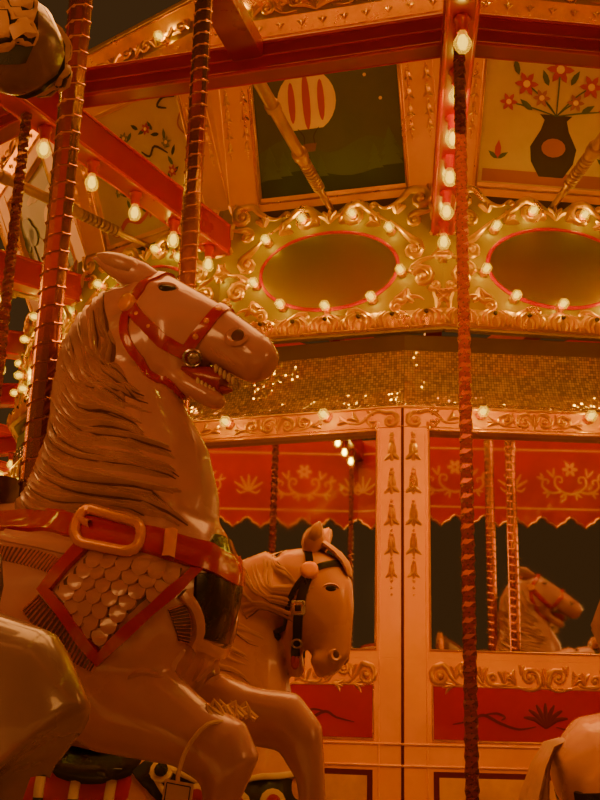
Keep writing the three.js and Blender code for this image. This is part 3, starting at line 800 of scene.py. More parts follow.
# Centre house: carved header, drops of husks, crest, red panels and mouldings
house = {
    "apothem": ringApothem("window_frame", houseTurn), "window": 0.459, "sill": 1.636, "lintel": 2.557,
    "huskBottoms": [(2.423, 0.035), (2.278, 0.033), (2.14, 0.03), (2.016, 0.026), (1.921, 0.022)],
    "drop": 0.53, "panel": 0.453, "panelLow": 1.286, "panelHigh": 1.493, "railLow": 1.17,
    "headerScrolls": [
        ((0.046, 2.612), 0.036, 100, -1.5, 0.011, [(0.005, 2.575), (0.008, 2.62), (0.022, 2.645)]),
        ((0.122, 2.618), 0.026, 100, 1.3, 0.01, [(0.075, 2.585), (0.095, 2.588), (0.145, 2.595),
                                                 (0.155, 2.625)])],
    "cornerScroll": ((0.523, 2.604), 0.042, 120, -1.5, 0.013,
                     [(0.3, 2.62), (0.34, 2.6), (0.39, 2.6), (0.43, 2.635), (0.47, 2.65)]),
    "headerLeaves": [(0.33, 2.605, 1.3, 0.05), (0.38, 2.605, 0.9, 0.055), (0.41, 2.615, -2.2, 0.05),
                     (0.45, 2.63, 0.6, 0.04), (0.47, 2.6, 2.6, 0.045)],
    "crestScrolls": [
        ((0.058, 1.536), 0.04, 200, -1.4, 0.013, [(0.17, 1.5), (0.12, 1.497), (0.06, 1.485), (0.022, 1.5)]),
        ((0.21, 1.528), 0.028, -90, 1.2, 0.01, [(0.13, 1.525), (0.155, 1.505)]),
        ((0.325, 1.555), 0.03, 100, -1.4, 0.012, [(0.17, 1.5), (0.215, 1.492), (0.26, 1.51), (0.29, 1.56)]),
        ((0.425, 1.53), 0.046, 100, -1.4, 0.014, [(0.3, 1.51), (0.345, 1.5), (0.38, 1.53), (0.4, 1.565)])],
    "crestLeaves": [(0.115, 1.505, -0.6, 0.06), (0.165, 1.5, 0.1, 0.06), (0.25, 1.505, -0.2, 0.07),
                    (0.28, 1.5, -1.9, 0.05), (0.365, 1.515, 0.2, 0.06), (0.36, 1.5, -1.8, 0.06),
                    (0.095, 1.545, 0.4, 0.04)],
    "flourishes": [([(0.04, 1.345), (0.11, 1.333), (0.18, 1.352), (0.252, 1.384), (0.3, 1.362),
                     (0.377, 1.345)], 0.006),
                   ([(0.252, 1.384), (0.2, 1.392), (0.165, 1.378), (0.18, 1.366)], 0.005)],
}
house["half"] = house["apothem"] * faceSlope


def addFrame(shape, half, low, high, width, place):
    corners = [(-half, 0, low), (half, 0, low), (half, 0, high), (-half, 0, high)]
    addBar(shape, corners, width, place, closed=True)


def addDrop(shape, x, place, bottoms, top, tail):
    above = top
    for bottom, width in bottoms:
        reach = min(0.09, (above - bottom) * 0.72)
        addFan(shape, (x, bottom + reach), 3, reach, 0.75, width * 0.42, place, math.pi, 0, 0.7, 0.5)
        addBead(shape, (x, 0, bottom + reach), width * 0.42, place)
        addBead(shape, (x, 0, bottom + reach + 0.018), width * 0.28, place)
        above = bottom
    for i in range(3):
        addBead(shape, (x, 0, mixed(above - 0.01, tail, i / 2)), 0.008 - 0.0015 * i, place)


def carveHouseFace(gilt, plates, place):
    half, panelHalf, panelLow, railLow = (house[key] for key in ("half", "panel", "panelLow", "railLow"))
    for at in bothSides(place):
        addScrolls(gilt, at, house["headerScrolls"])
        addFan(gilt, (0.15, 2.602), 3, 0.06, 0.8, 0.01, at, -1.45)
        addFan(gilt, (0.085, 2.6), 2, 0.05, 0.7, 0.009, at, -0.5)
        addScroll(gilt, at, *house["cornerScroll"])
        addFans(gilt, at, house["headerLeaves"], 2, 0.8, 0.011)
        addDrop(gilt, house["drop"], at, house["huskBottoms"], 2.545, 1.855)
        addBead(gilt, (house["drop"], 0, 2.54), 0.013, at)
        addScrolls(gilt, at, house["crestScrolls"])
        addFans(gilt, at, house["crestLeaves"], 3, 1.0, 0.011)
        for points, width in house["flourishes"]:
            path = facePath(points, 4)
            addStrip(plates, path, swell(len(path), width), at @ moved(0, -0.0045, 0), finish=3)
    addFan(gilt, (0, 2.58), 3, 0.07, 0.9, 0.011, place)
    addFan(gilt, (0, 1.5), 5, 0.075, 1.6, 0.013, place)
    addFan(plates, (0, 1.339), 7, 0.098, 2.3, 0.009, place @ moved(0, -0.004, 0), 0, 3, 0.25)
    addFrame(gilt, house["window"] + 0.004, house["sill"] - 0.003, house["lintel"] + 0.004, 0.0065, place)
    addFrame(gilt, panelHalf + 0.003, panelLow - 0.006, house["panelHigh"], 0.006, place)
    addRail(gilt, half, 2.662, 0.007, place)
    addRail(gilt, half, 2.575, 0.0035, place)
    addBlock(plates, (-panelHalf, -0.003, panelLow), (panelHalf, 0.01, house["panelHigh"]), place)
    addBlock(plates, (-0.454, -0.003, 0.5), (0.454, 0.01, railLow - 0.006), place, 1)
    addBlock(plates, (-0.432, -0.006, 0.522), (0.432, 0.004, railLow - 0.028), place, 2)
    for z in (railLow + 0.012, panelLow - 0.022):
        addRail(plates, half, z, 0.006, place, 4)
    for side in (-1, 1):
        x = side * (half - 0.003)
        addBar(plates, [(x, -0.0005, 0.47), (x, -0.0005, 2.66)], 0.0035, place, 3)
        addBar(plates, [(side * 0.478, 0, 0.5), (side * 0.478, 0, 2.55)], 0.004, place, 4)


gilt, plates, lamps = bmesh.new(), bmesh.new(), bmesh.new()
housePlace = faceMatrix(houseMid, house["apothem"])
carveHouseFace(gilt, plates, housePlace)
for side in (-1, 1):
    addBulb(lamps, outward(housePlace, side * 0.235, 2.637))
for shape in (gilt, plates, lamps):
    roundBays(shape)
addPiece("house_carving", gilt, [gilding], houseBody, 60)
addPiece("house_panels", plates, [redEnamel, darkRedPaint, tanPaint, darkRedPaint, creamPaint], houseBody,
         40)
addPiece("house_bulbs", lamps, [gilding, bulbGlow, bulbGlass], houseBody, 60)
print("house carved")


# Painted panels above the shields: flat shapes on the leaning boards, one layer over the other
panel = {"apothem": 2.66, "foot": 3.79, "lean": math.atan2(0.33, 0.77), "half": 0.37, "low": 0.065,
         "high": 0.762,
         "paint": 0.002, "layer": 0.0016}
dusk, farHill, darkHill, leafGreen, pale, red, basket, ink, cream, rust, sage, sky = range(len(sceneColours))


def panelPlace(bay):
    return faceMatrix(midBay + bay * bayAngle, panel["apothem"], panel["foot"], panel["lean"])


def arcPoints(cx, cz, across, up, start=0, end=345, steps=12):
    turns = [math.radians(mixed(start, end, i / steps)) for i in range(steps + 1)]
    return [(cx + across * math.cos(turn), cz + up * math.sin(turn)) for turn in turns]


def addFlat(board, outline, layer, finish):
    shape, place = board
    addBoard(shape, outline, panel["paint"], place @ moved(0, -panel["paint"] - panel["layer"] * layer, 0),
             finish)


def ground(board, finish):
    low, high, half = panel["low"] - 0.01, panel["high"] + 0.01, panel["half"] + 0.01
    addFlat(board, [(-half, low), (half, low), (half, high), (-half, high)], 0, finish)


def hill(board, crest, layer, finish):
    low, half = panel["low"], panel["half"]
    addFlat(board, [(-half, low)] + [(p.x, p.z) for p in facePath(crest, 5)] + [(half, low)], layer, finish)


def fir(board, x, z, size, layer, finish):
    for i in range(3):
        base, width = z + size * 0.28 * i, size * (0.34 - 0.08 * i)
        addFlat(board, [(x - width, base), (x + width, base), (x, base + size * 0.45)], layer + i * 0.3,
                finish)


def blossom(board, x, z, size, layer, petal, heart, petals=6):
    outline = []
    for i in range(petals * 4):
        angle = 2 * math.pi * i / (petals * 4)
        reach = size * (0.72 + 0.28 * math.cos(petals * angle))
        outline.append((x + reach * math.cos(angle), z + reach * math.sin(angle)))
    addFlat(board, outline, layer, petal)
    addFlat(board, arcPoints(x, z, size * 0.3, size * 0.3, 0, 330, 8), layer + 1, heart)


def stem(board, points, width, layer, finish):
    shape, place = board
    path = facePath(points, 4)
    lifted = place @ moved(0, -0.0045 - panel["layer"] * layer, 0)
    addStrip(shape, path, swell(len(path), width, 0.4), lifted, finish=finish)


def leafFlat(board, x, z, length, turn, layer, finish):
    along = Vector((math.cos(turn), math.sin(turn)))
    side = Vector((-along.y, along.x))
    outline = [Vector((x, z)) + along * length * t + side * length * s
               for t, s in ((0, 0), (0.25, 0.17), (0.6, 0.18), (1, 0), (0.6, -0.15), (0.25, -0.14))]
    addFlat(board, outline, layer, finish)


def paintBalloon(board):
    ground(board, dusk)
    hill(board, [(-0.37, 0.3), (-0.2, 0.36), (0, 0.27), (0.2, 0.33), (0.37, 0.25)], 1, farHill)
    hill(board, [(-0.37, 0.16), (-0.15, 0.2), (0.1, 0.15), (0.37, 0.21)], 2, darkHill)
    for x, z, size in ((-0.31, 0.17, 0.16), (-0.24, 0.18, 0.12), (0.3, 0.18, 0.18), (0.22, 0.17, 0.12),
                       (-0.05, 0.16, 0.1)):
        fir(board, x, z, size, 3, leafGreen)
    addFlat(board, arcPoints(-0.1, 0.53, 0.15, 0.155, -60, 240, 22), 2, pale)
    for offset, width in ((-0.075, 0.035), (0.0, 0.04), (0.075, 0.035)):
        stripe = arcPoints(-0.1 + offset, 0.53, width * 0.5, 0.138 - abs(offset) * 0.5, -80, 260)
        addFlat(board, stripe, 3, red)
    addFlat(board, [(-0.135, 0.325), (-0.065, 0.325), (-0.075, 0.285), (-0.125, 0.285)], 3, basket)
    for x in (-0.128, -0.072):
        stem(board, [(x, 0.32), (x * 0.9 - 0.01, 0.36), (mixed(x, -0.1, -0.9), 0.4)], 0.003, 3, ink)
    for x, z in ((0.2, 0.62), (0.27, 0.5), (0.14, 0.68), (-0.3, 0.66), (0.3, 0.69)):
        addFlat(board, arcPoints(x, z, 0.009, 0.009, 0, 300, 5), 2, pale)


def paintVase(board):
    ground(board, cream)
    addFlat(board, [(-0.34, 0.09), (0.34, 0.09), (0.34, 0.15), (-0.34, 0.15)], 1, rust)
    half = [(0.06, 0.13), (0.105, 0.2), (0.115, 0.27), (0.07, 0.35), (0.055, 0.4), (0.08, 0.425)]
    addFlat(board, [(-0.06, 0.13)] + half + [(-x, z) for x, z in half[:0:-1]], 2, ink)
    addFlat(board, arcPoints(0, 0.27, 0.06, 0.045, steps=14), 3, rust)
    for x, z, size, petal in ((-0.16, 0.56, 0.06, red), (0.0, 0.64, 0.07, red), (0.16, 0.57, 0.06, red),
                              (-0.08, 0.5, 0.045, rust), (0.09, 0.49, 0.045, rust), (-0.24, 0.47, 0.045, red),
                              (0.25, 0.46, 0.045, red)):
        stem(board, [(0, 0.42), (x * 0.5, mixed(0.42, z, 0.6)), (x, z)], 0.004, 2, leafGreen)
        blossom(board, x, z, size, 4, petal, pale)
    for x, z, turn in ((-0.12, 0.44, 2.5), (0.12, 0.44, 0.6), (-0.2, 0.6, 1.9), (0.2, 0.62, 1.0),
                       (-0.05, 0.56, 2.0), (0.06, 0.57, 1.1)):
        leafFlat(board, x, z, 0.08, turn, 3, leafGreen)
    for x in (-0.27, 0.27):
        for length, turn, finish in (
                (0.09, math.pi / 2, red), (0.06, 0.6, leafGreen), (0.06, 2.5, leafGreen)):
            leafFlat(board, x, 0.2, length, turn, 1, finish)


def paintWreath(board):
    ground(board, cream)
    for i in range(26):
        angle = 2 * math.pi * i / 26
        leafFlat(board, 0.22 * math.cos(angle), 0.42 + 0.2 * math.sin(angle), 0.06,
                 angle + math.pi / 2 + (0.6 if i % 2 else -0.6), 1 + i % 2, leafGreen if i % 3 else darkHill)
    for i in range(8):
        angle = 2 * math.pi * (i + 0.5) / 8
        petal = red if i % 2 else sage
        blossom(board, 0.22 * math.cos(angle), 0.42 + 0.2 * math.sin(angle), 0.034, 4, petal, pale)
    for side in (-1, 1):
        for points, width, layer, finish in (
                ([(0, 0.2), (0.1, 0.15), (0.19, 0.18), (0.28, 0.12), (0.33, 0.15)], 0.014, 5, red),
                ([(0.2, 0.44), (0.12, 0.5), (0.07, 0.46), (0.02, 0.5)], 0.007, 2, ink),
                ([(0.33, 0.7), (0.25, 0.72), (0.2, 0.69), (0.26, 0.66)], 0.007, 2, ink),
                ([(0.35, 0.62), (0.31, 0.56), (0.34, 0.5)], 0.006, 2, rust)):
            stem(board, [(side * x, z) for x, z in points], width, layer, finish)
    blossom(board, 0, 0.4, 0.075, 3, rust, pale, 8)
    blossom(board, 0, 0.19, 0.045, 6, red, pale)


def paintMeadow(board):
    ground(board, sky)
    addFlat(board, arcPoints(0.14, 0.44, 0.1, 0.1, steps=22), 1, pale)
    hill(board, [(-0.37, 0.36), (-0.18, 0.46), (0.02, 0.36), (0.2, 0.42), (0.37, 0.34)], 2, sage)
    hill(board, [(-0.37, 0.26), (-0.1, 0.24), (0.15, 0.3), (0.37, 0.24)], 3, leafGreen)
    hill(board, [(-0.37, 0.14), (0, 0.19), (0.37, 0.13)], 4, darkHill)
    stem(board, [(-0.24, 0.22), (-0.235, 0.36), (-0.25, 0.48)], 0.016, 5, ink)
    for x, z, across, up in ((-0.25, 0.52, 0.1, 0.09), (-0.18, 0.47, 0.07, 0.06), (-0.31, 0.46, 0.05, 0.05)):
        addFlat(board, arcPoints(x, z, across, up), 6, leafGreen)
    for i in range(7):
        blossom(board, -0.3 + i * 0.1, 0.11 + 0.03 * (i % 2), 0.022, 6, red if i % 2 else cream, pale)
    for x, z, across in ((-0.05, 0.66, 0.09), (0.02, 0.64, 0.07), (0.26, 0.6, 0.07)):
        addFlat(board, arcPoints(x, z, across, 0.022), 2, cream)


designs = [paintVase, paintMeadow, paintWreath, paintBalloon]
pictures = bmesh.new()
for i, paint in enumerate(designs):
    painting = bmesh.new()
    paint((painting, panelPlace(i)))
    roundBays(painting, len(designs))
    addMesh(pictures, toMesh(painting))
addPiece("panel_pictures", pictures, sceneColours, turningBody, 30)
print("panels painted")


# Pilaster drops, panel frames and the carved cornice
cornice = {
    "apothem": 3.04, "face": 3.086, "foot": 4.563, "half": 0.59, "beads": 22,
    "scrolls": [((0.1, 4.7), 0.04, 100, -1.4, 0.013, [(0.02, 4.64), (0.03, 4.68), (0.055, 4.735)]),
                ((0.25, 4.685), 0.045, 60, 1.4, 0.014, [(0.1, 4.65), (0.16, 4.645), (0.2, 4.675),
                                                        (0.235, 4.735)]),
                ((0.5, 4.7), 0.045, 120, -1.4, 0.014, [(0.32, 4.645), (0.37, 4.65), (0.42, 4.69),
                                                       (0.45, 4.74)])],
    "leaves": [(0.17, 4.66, -0.6, 0.07), (0.2, 4.66, 0.3, 0.07), (0.32, 4.65, 0.3, 0.08),
               (0.36, 4.66, -0.5, 0.08), (0.44, 4.67, -1.2, 0.07), (0.56, 4.66, 0.5, 0.07)],
}
pilaster = {"drops": (0.415, 0.505), "lines": (0.385, 0.537), "top": 4.37, "tail": 4.05,
            "husks": ((4.3, 0.026), (4.22, 0.025), (4.145, 0.022), (4.085, 0.02))}
pilasterPlace = panelPlace(0) @ moved(0, -0.033, 0)
upper, lamps = bmesh.new(), bmesh.new()


def upSlope(z):
    return (z - panel["foot"]) / math.cos(panel["lean"])


for at in bothSides(pilasterPlace):
    for x in pilaster["drops"]:
        husks = [(upSlope(z), width) for z, width in pilaster["husks"]]
        addDrop(upper, x, at, husks, upSlope(pilaster["top"]), upSlope(pilaster["tail"]))
    for x in pilaster["lines"]:
        addBar(upper, [(x, 0, 0.02), (x, 0, 0.83)], 0.0045, at)
addFrame(upper, 0.372, 0.055, 0.772, 0.008, pilasterPlace)
corniceFoot = faceMatrix(midBay, cornice["apothem"], cornice["foot"])
for i in range(cornice["beads"]):
    x = mixed(-cornice["half"], cornice["half"], (i + 0.5) / cornice["beads"])
    addBead(upper, (x, 0.0, 0.012), 0.011, corniceFoot)
    if i % 2:
        fanPlace = corniceFoot @ Matrix.Rotation(0.5, 4, "X") @ moved(0, -0.008, 0.01)
        addFan(upper, (x, 0.014), 3, 0.03, 1.5, 0.006, fanPlace)
corniceFace = faceMatrix(midBay, cornice["face"])
for at in bothSides(corniceFace):
    addScrolls(upper, at, cornice["scrolls"])
    addFans(upper, at, cornice["leaves"], 3, 1.1, 0.012)
addFan(upper, (0, 4.64), 9, 0.11, 2.5, 0.013, corniceFace)
for side in (-1, 1):
    addBulb(lamps, outward(faceMatrix(midBay, 3.078), side * 0.39, 4.66))
addRail(upper, 0.61, 4.765, 0.009, faceMatrix(midBay, 3.135))
roundBays(upper)
roundBays(lamps)
addPiece("upper_carving", upper, [gilding], turningBody, 60)
addPiece("cornice_bulbs", lamps, [gilding, bulbGlow, bulbGlass], turningBody, 60)
print("upper carving made")


# Sweeps and rails: beads along the lower edges, and pear bulbs under every sweep
sweep = {"bottom": 3.54, "half": 0.0465, "inner": 2.84, "outer": 7.08, "first": 2.93, "pitch": 0.302,
         "count": 14}
railApothems = (3.925, 5.1, 6.4125)
railBeads = ((3.706, 0.008), (3.765, 0.004), (3.824, 0.008))
mouldings, lamps = bmesh.new(), bmesh.new()
for side in (-1, 1):
    for z, width in ((sweep["bottom"] + 0.006, 0.009), (sweep["bottom"] + 0.15, 0.007)):
        addBar(mouldings, [(side * sweep["half"], -sweep[end], z) for end in ("inner", "outer")], width)
hanging = Matrix.Rotation(math.pi, 4, "X")
for i in range(sweep["count"]):
    addBulb(lamps, moved(0, -sweep["first"] - i * sweep["pitch"], sweep["bottom"] + 0.002) @ hanging,
            pearProfiles)
for apothem in railApothems:
    for edge in (apothem, apothem + 0.075):
        for z, width in railBeads:
            addRail(mouldings, edge * faceSlope, z, width, faceMatrix(midBay, edge))
roundBays(mouldings)
roundBays(lamps)
addPiece("frame_mouldings", mouldings, [redPaint], turningBody, 60)
addPiece("sweep_bulbs", lamps, [redPaint, bulbGlow, bulbGlass], turningBody, 60)
print("frame mouldings made")

# Crankshafts: a thin rod, a ribbed sleeve, collars and the thick shaft, out of one bearing ring
shaftRibs = {"count": 9, "start": 2.965, "pitch": 0.028}
shaftProfile = [(0.0, 2.64), (0.016, 2.64), (0.016, 2.955), (0.029, 2.96)]
for i in range(shaftRibs["count"]):
    start = shaftRibs["start"] + i * shaftRibs["pitch"]
    shaftProfile += [(0.029, start), (0.029, start + 0.017), (0.022, start + 0.019), (0.022, start + 0.026)]
shaftProfile += [(0.029, 3.22), (0.029, 3.25), (0.036, 3.255), (0.036, 3.3), (0.026, 3.305), (0.026, 3.655),
                 (0.033, 3.66), (0.033, 3.7), (0.026, 3.705), (0.026, 3.9), (0.036, 3.905), (0.036, 3.923),
                 (0.0, 3.924)]
shafts = bmesh.new()
addTurned(shafts, shaftProfile, faceMatrix(midBay, 0, 3.745, math.pi / 2), 10)
addRingSegment(shafts, (2.602, 3.7003), (2.699, 3.789), 1)
roundBays(shafts)
shaftPiece = addPiece("crank_shaft_details", shafts, [shaftPaint, brownPaint], turningBody, 40)
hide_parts("crank_shafts")
print("shafts made")


# Rounding boards: stencils on both faces, a gilt top moulding and a scalloped lower edge
rim = {"inside": ringApothem("rounding_boards") - 0.06, "thick": 0.03, "bottom": 3.06, "lobes": 12,
       "stencils": 3.33,
       "groups": (-0.95, 0.0, 0.95), "sprigs": (-0.475, 0.475, 1.37, -1.37), "lines": (3.105, 3.6),
       "mouldings": ((3.65, 0.016), (3.7, 0.012)),
       "scallop": [(0.48, 0.03), (0.36, 0.045), (0.3, 0.07), (0.14, 0.085)]}
rim["half"] = rim["inside"] * faceSlope
stencil = {
    "strokes": [[(0.0, -0.5), (0.3, -0.42), (0.62, -0.15), (0.6, 0.2), (0.36, 0.2), (0.36, 0.0),
                 (0.48, 0.02)],
                [(0.4, -0.4), (0.8, -0.45), (1.15, -0.2), (1.1, 0.1), (0.9, 0.06), (0.95, -0.08)]],
    "sprays": [(0.7, 0.2, -0.3, 0.4), (0.2, -0.45, -2.6, 0.3), (0.85, -0.4, -2.2, 0.3),
               (1.1, 0.1, -0.8, 0.3)],
}


def stencilLeaf(shape, points, width, place):
    path = facePath(points, 2)
    addStrip(shape, path, swell(len(path), width, 0.1), place)


def stencilSpray(shape, foot, count, reach, spread, width, place, lean=0.0):
    for i in range(count):
        angle = math.pi / 2 + lean - ((i / (count - 1)) - 0.5) * spread
        tip = (foot[0] + reach * math.cos(angle), foot[1] + reach * math.sin(angle))
        stencilLeaf(shape, [foot, tip], width, place)


def stencilGroup(shape, x, z, size, place):
    for at in bothSides(place @ moved(x, 0, z)):
        for points in stencil["strokes"]:
            path = facePath([(px * size, pz * size) for px, pz in points], 3)
            addStrip(shape, path, taper(len(path), 0.05 * size, 0.03 * size), at)
        for ax, az, lean, reach in stencil["sprays"]:
            stencilSpray(shape, (ax * size, az * size), 2, reach * size, 0.8, 0.05 * size, at, lean)
    for i in range(6):
        turn = i * math.pi / 3
        ends = [(x + out * size * math.cos(turn), z + 0.55 * size + out * size * math.sin(turn))
                for out in (0.06, 0.32)]
        stencilLeaf(shape, ends, 0.085 * size, place)


def stencilSprig(shape, x, z, size, place):
    stencilSpray(shape, (x, z - 0.4 * size), 5, 0.85 * size, 2.0, 0.07 * size, place)
    for side in (-1, 1):
        points = [(x + side * out * size, z - down * size)
                  for out, down in ((0, 0.35), (0.4, 0.5), (0.6, 0.3))]
        stencilLeaf(shape, points, 0.05 * size, place)


def stencilFace(shape, place):
    for x in rim["groups"]:
        stencilGroup(shape, x, rim["stencils"], 0.2, place)
    for x in rim["sprigs"]:
        stencilSprig(shape, x, rim["stencils"], 0.17, place)
    for z in rim["lines"]:
        addStrip(shape, [(-1.41, 0, z), (1.41, 0, z)], [0.008] * 2, place)


stencils, edging = bmesh.new(), bmesh.new()
stencilFace(stencils, faceMatrix(midBay, rim["inside"] + rim["thick"] + 0.0008))
stencilFace(stencils, faceMatrix(midBay, rim["inside"] - 0.0008) @ Matrix.Rotation(math.pi, 4, "Z"))
boardPlace = faceMatrix(midBay, rim["inside"] + rim["thick"])
innerBoard = boardPlace @ moved(0, rim["thick"], 0) @ Matrix.Scale(-1, 4, (0, 1, 0))
scallop = ([(-0.5, 0.0)] + [(-x, -z) for x, z in rim["scallop"]] + [(0.0, -0.115)]
           + [(x, -z) for x, z in reversed(rim["scallop"])] + [(0.5, 0.0)])
width = 2 * rim["half"] / rim["lobes"]
for i in range(rim["lobes"]):
    x = -rim["half"] + (i + 0.5) * width
    drop = [(x + dx * width, rim["bottom"] + 0.002 + dz) for dx, dz in scallop]
    addBoard(edging, drop, rim["thick"], boardPlace)
    edge = [(px, 0, pz + 0.006) for px, pz in drop[1:-1]]
    for place in (boardPlace, innerBoard):
        addStrip(edging, edge, [0.006] * len(edge), place, leafSection, 0.6, 1)
for z, thick in rim["mouldings"]:
    addRail(edging, rim["half"] * 1.003, z, thick, faceMatrix(midBay, rim["inside"] + 0.045), 1)
roundBays(stencils)
roundBays(edging)
addPiece("board_stencils", stencils, [creamPaint], turningBody, 60)
addPiece("board_edging", edging, [redPaint, gilding], turningBody, 40)
print("rounding boards made")


# Platform edge: gilt beads and a row of painted lozenges
edgeTrim = {"lozenges": 9, "lozenge": [(-0.11, 0.34), (0.0, 0.28), (0.11, 0.34), (0.0, 0.4)],
            "mouldings": (0.245, 0.435)}
edge = bmesh.new()
edgePlace = faceMatrix(midBay, ringApothem("platform_edge"))
for z in edgeTrim["mouldings"]:
    addRail(edge, rim["half"], z, 0.011, edgePlace)
for i in range(edgeTrim["lozenges"]):
    x = mixed(-rim["half"], rim["half"], (i + 0.5) / edgeTrim["lozenges"])
    addBoard(edge, [(x + dx, z) for dx, z in edgeTrim["lozenge"]], 0.004, edgePlace @ moved(0, -0.003, 0), 1)
    addBead(edge, (x + rim["half"] / edgeTrim["lozenges"], 0, 0.34), 0.016, edgePlace)
roundBays(edge)
addPiece("edge_beads", edge, [gilding, creamPaint], turningBody, 40)
print("platform edge made")


# Horses, in millimetres forward and above the deck
# A section is its front or top point, its back or bottom point and its half width
def mm(value):
    return value / 1000 if isinstance(value, (int, float)) else type(value)(mm(item) for item in value)


torsoSections = mm([
    (488, 970, 483, 870, 45), (458, 1060, 448, 780, 115), (380, 1140, 370, 690, 165),
    (200, 1160, 200, 635, 180), (0, 1130, 0, 635, 188), (-200, 1125, -200, 665, 190),
    (-400, 1160, -380, 730, 188), (-550, 1215, -530, 800, 178), (-670, 1190, -640, 880, 140),
    (-745, 1100, -720, 960, 70)])
headSections = mm([
    (170, 1620, 220, 1430, 52), (235, 1660, 280, 1385, 75), (300, 1655, 345, 1375, 83),
    (370, 1610, 375, 1415, 66), (440, 1565, 410, 1430, 54), (500, 1520, 455, 1405, 49),
    (553, 1478, 505, 1378, 52), (572, 1440, 540, 1385, 36)])
jawSections = mm([
    (330, 1430, 325, 1373, 52), (390, 1395, 375, 1347, 40), (435, 1368, 420, 1322, 36),
    (455, 1345, 442, 1322, 24)])
horseStyles = {
    "middle": {
        "scale": 1.0, "forward": 0.0, "headShift": (0.0, 0.0), "head": headSections, "jaw": jawSections,
        "neck": mm([
            (450, 1000, -50, 1050, 150), (450, 1120, 0, 1170, 126), (420, 1230, 35, 1280, 106),
            (360, 1330, 35, 1390, 90), (300, 1420, 48, 1500, 75), (270, 1500, 90, 1575, 64),
            (270, 1580, 160, 1630, 55)]),
        "nearFore": mm([
            (330, 900, 120, 660, 70), (390, 775, 250, 600, 62), (485, 700, 420, 580, 50),
            (560, 668, 480, 550, 54), (592, 605, 485, 520, 50), (555, 520, 475, 490, 35),
            (495, 445, 432, 460, 28), (435, 400, 385, 445, 33), (380, 375, 365, 420, 26)]),
        "nearHoof": mm([(375, 370, 360, 430, 32), (310, 350, 300, 435, 43)]),
        "farFore": mm([
            (340, 900, 180, 660, 70), (415, 775, 355, 615, 56), (510, 740, 490, 620, 46),
            (605, 730, 570, 610, 46), (660, 665, 582, 590, 42), (668, 560, 608, 555, 31),
            (675, 470, 620, 465, 28), (683, 420, 618, 405, 33), (670, 375, 625, 370, 26)]),
        "farHoof": mm([(675, 375, 620, 370, 32), (710, 310, 610, 300, 43)]),
    },
    "inner": {
        "scale": 0.93, "forward": 0.0, "headShift": (0.015, 0.0),
        "head": mm([
            (350, 1660, 360, 1500, 52), (450, 1670, 375, 1430, 75), (530, 1635, 365, 1370, 83),
            (575, 1560, 405, 1365, 66), (580, 1490, 440, 1365, 54), (575, 1420, 455, 1340, 49),
            (568, 1345, 460, 1300, 52), (530, 1295, 475, 1280, 36)]),
        "jaw": mm([(420, 1400, 362, 1400, 52), (425, 1350, 375, 1345, 40), (432, 1310, 388, 1300, 36),
                   (425, 1285, 400, 1280, 24)]),
        "neck": mm([
            (470, 1000, -50, 1060, 155), (455, 1120, 0, 1190, 128), (415, 1220, 35, 1300, 106),
            (390, 1320, 70, 1420, 90), (385, 1420, 130, 1530, 76), (400, 1500, 220, 1625, 66),
            (420, 1570, 320, 1660, 56)]),
    },
    "outer": {
        "scale": 1.06, "forward": 0.1, "headShift": (-0.035, 0.095), "head": headSections, "jaw": jawSections,
        "neck": mm([
            (480, 1000, -50, 1050, 155), (465, 1130, 0, 1180, 128), (440, 1250, 35, 1300, 106),
            (390, 1360, 45, 1420, 90), (340, 1460, 60, 1540, 76), (300, 1560, 110, 1640, 66),
            (290, 1640, 180, 1695, 56)]),
        "nearFore": mm([
            (375, 960, 170, 700, 70), (473, 914, 397, 733, 62), (576, 899, 550, 750, 56),
            (648, 878, 603, 736, 56), (686, 816, 593, 715, 50), (617, 715, 543, 720, 36),
            (530, 630, 470, 660, 30), (455, 585, 405, 630, 34), (400, 565, 375, 605, 27)]),
        "nearHoof": mm([(400, 560, 370, 610, 33), (345, 530, 315, 615, 43)]),
        "farFore": mm([
            (340, 880, 170, 680, 70), (420, 750, 250, 630, 58), (430, 640, 325, 600, 46),
            (425, 545, 335, 530, 43), (405, 460, 345, 455, 31), (400, 410, 345, 410, 29),
            (410, 375, 340, 370, 34), (405, 345, 355, 340, 27)]),
        "farHoof": mm([(405, 345, 350, 340, 32), (430, 285, 330, 280, 43)]),
    },
}
for part in ("nearFore", "nearHoof", "farFore", "farHoof"):
    horseStyles["inner"][part] = horseStyles["middle"][part]
hindBack = mm([
    (-300, 980, -700, 1030, 85), (-380, 800, -690, 880, 80), (-520, 665, -680, 745, 56),
    (-615, 580, -720, 620, 42), (-665, 500, -735, 520, 31), (-695, 435, -765, 445, 34),
    (-715, 400, -765, 405, 27)])
hindBackHoof = mm([(-715, 400, -770, 410, 32), (-735, 325, -835, 345, 43)])
hindUnder = mm([
    (-280, 950, -660, 1020, 85), (-320, 780, -610, 840, 80), (-430, 650, -580, 690, 56),
    (-525, 570, -625, 600, 42), (-510, 490, -575, 490, 31), (-480, 425, -550, 410, 34),
    (-465, 400, -520, 375, 27)])
hindUnderHoof = mm([(-460, 405, -515, 370, 32), (-420, 350, -500, 310, 43)])
legSide = 0.1
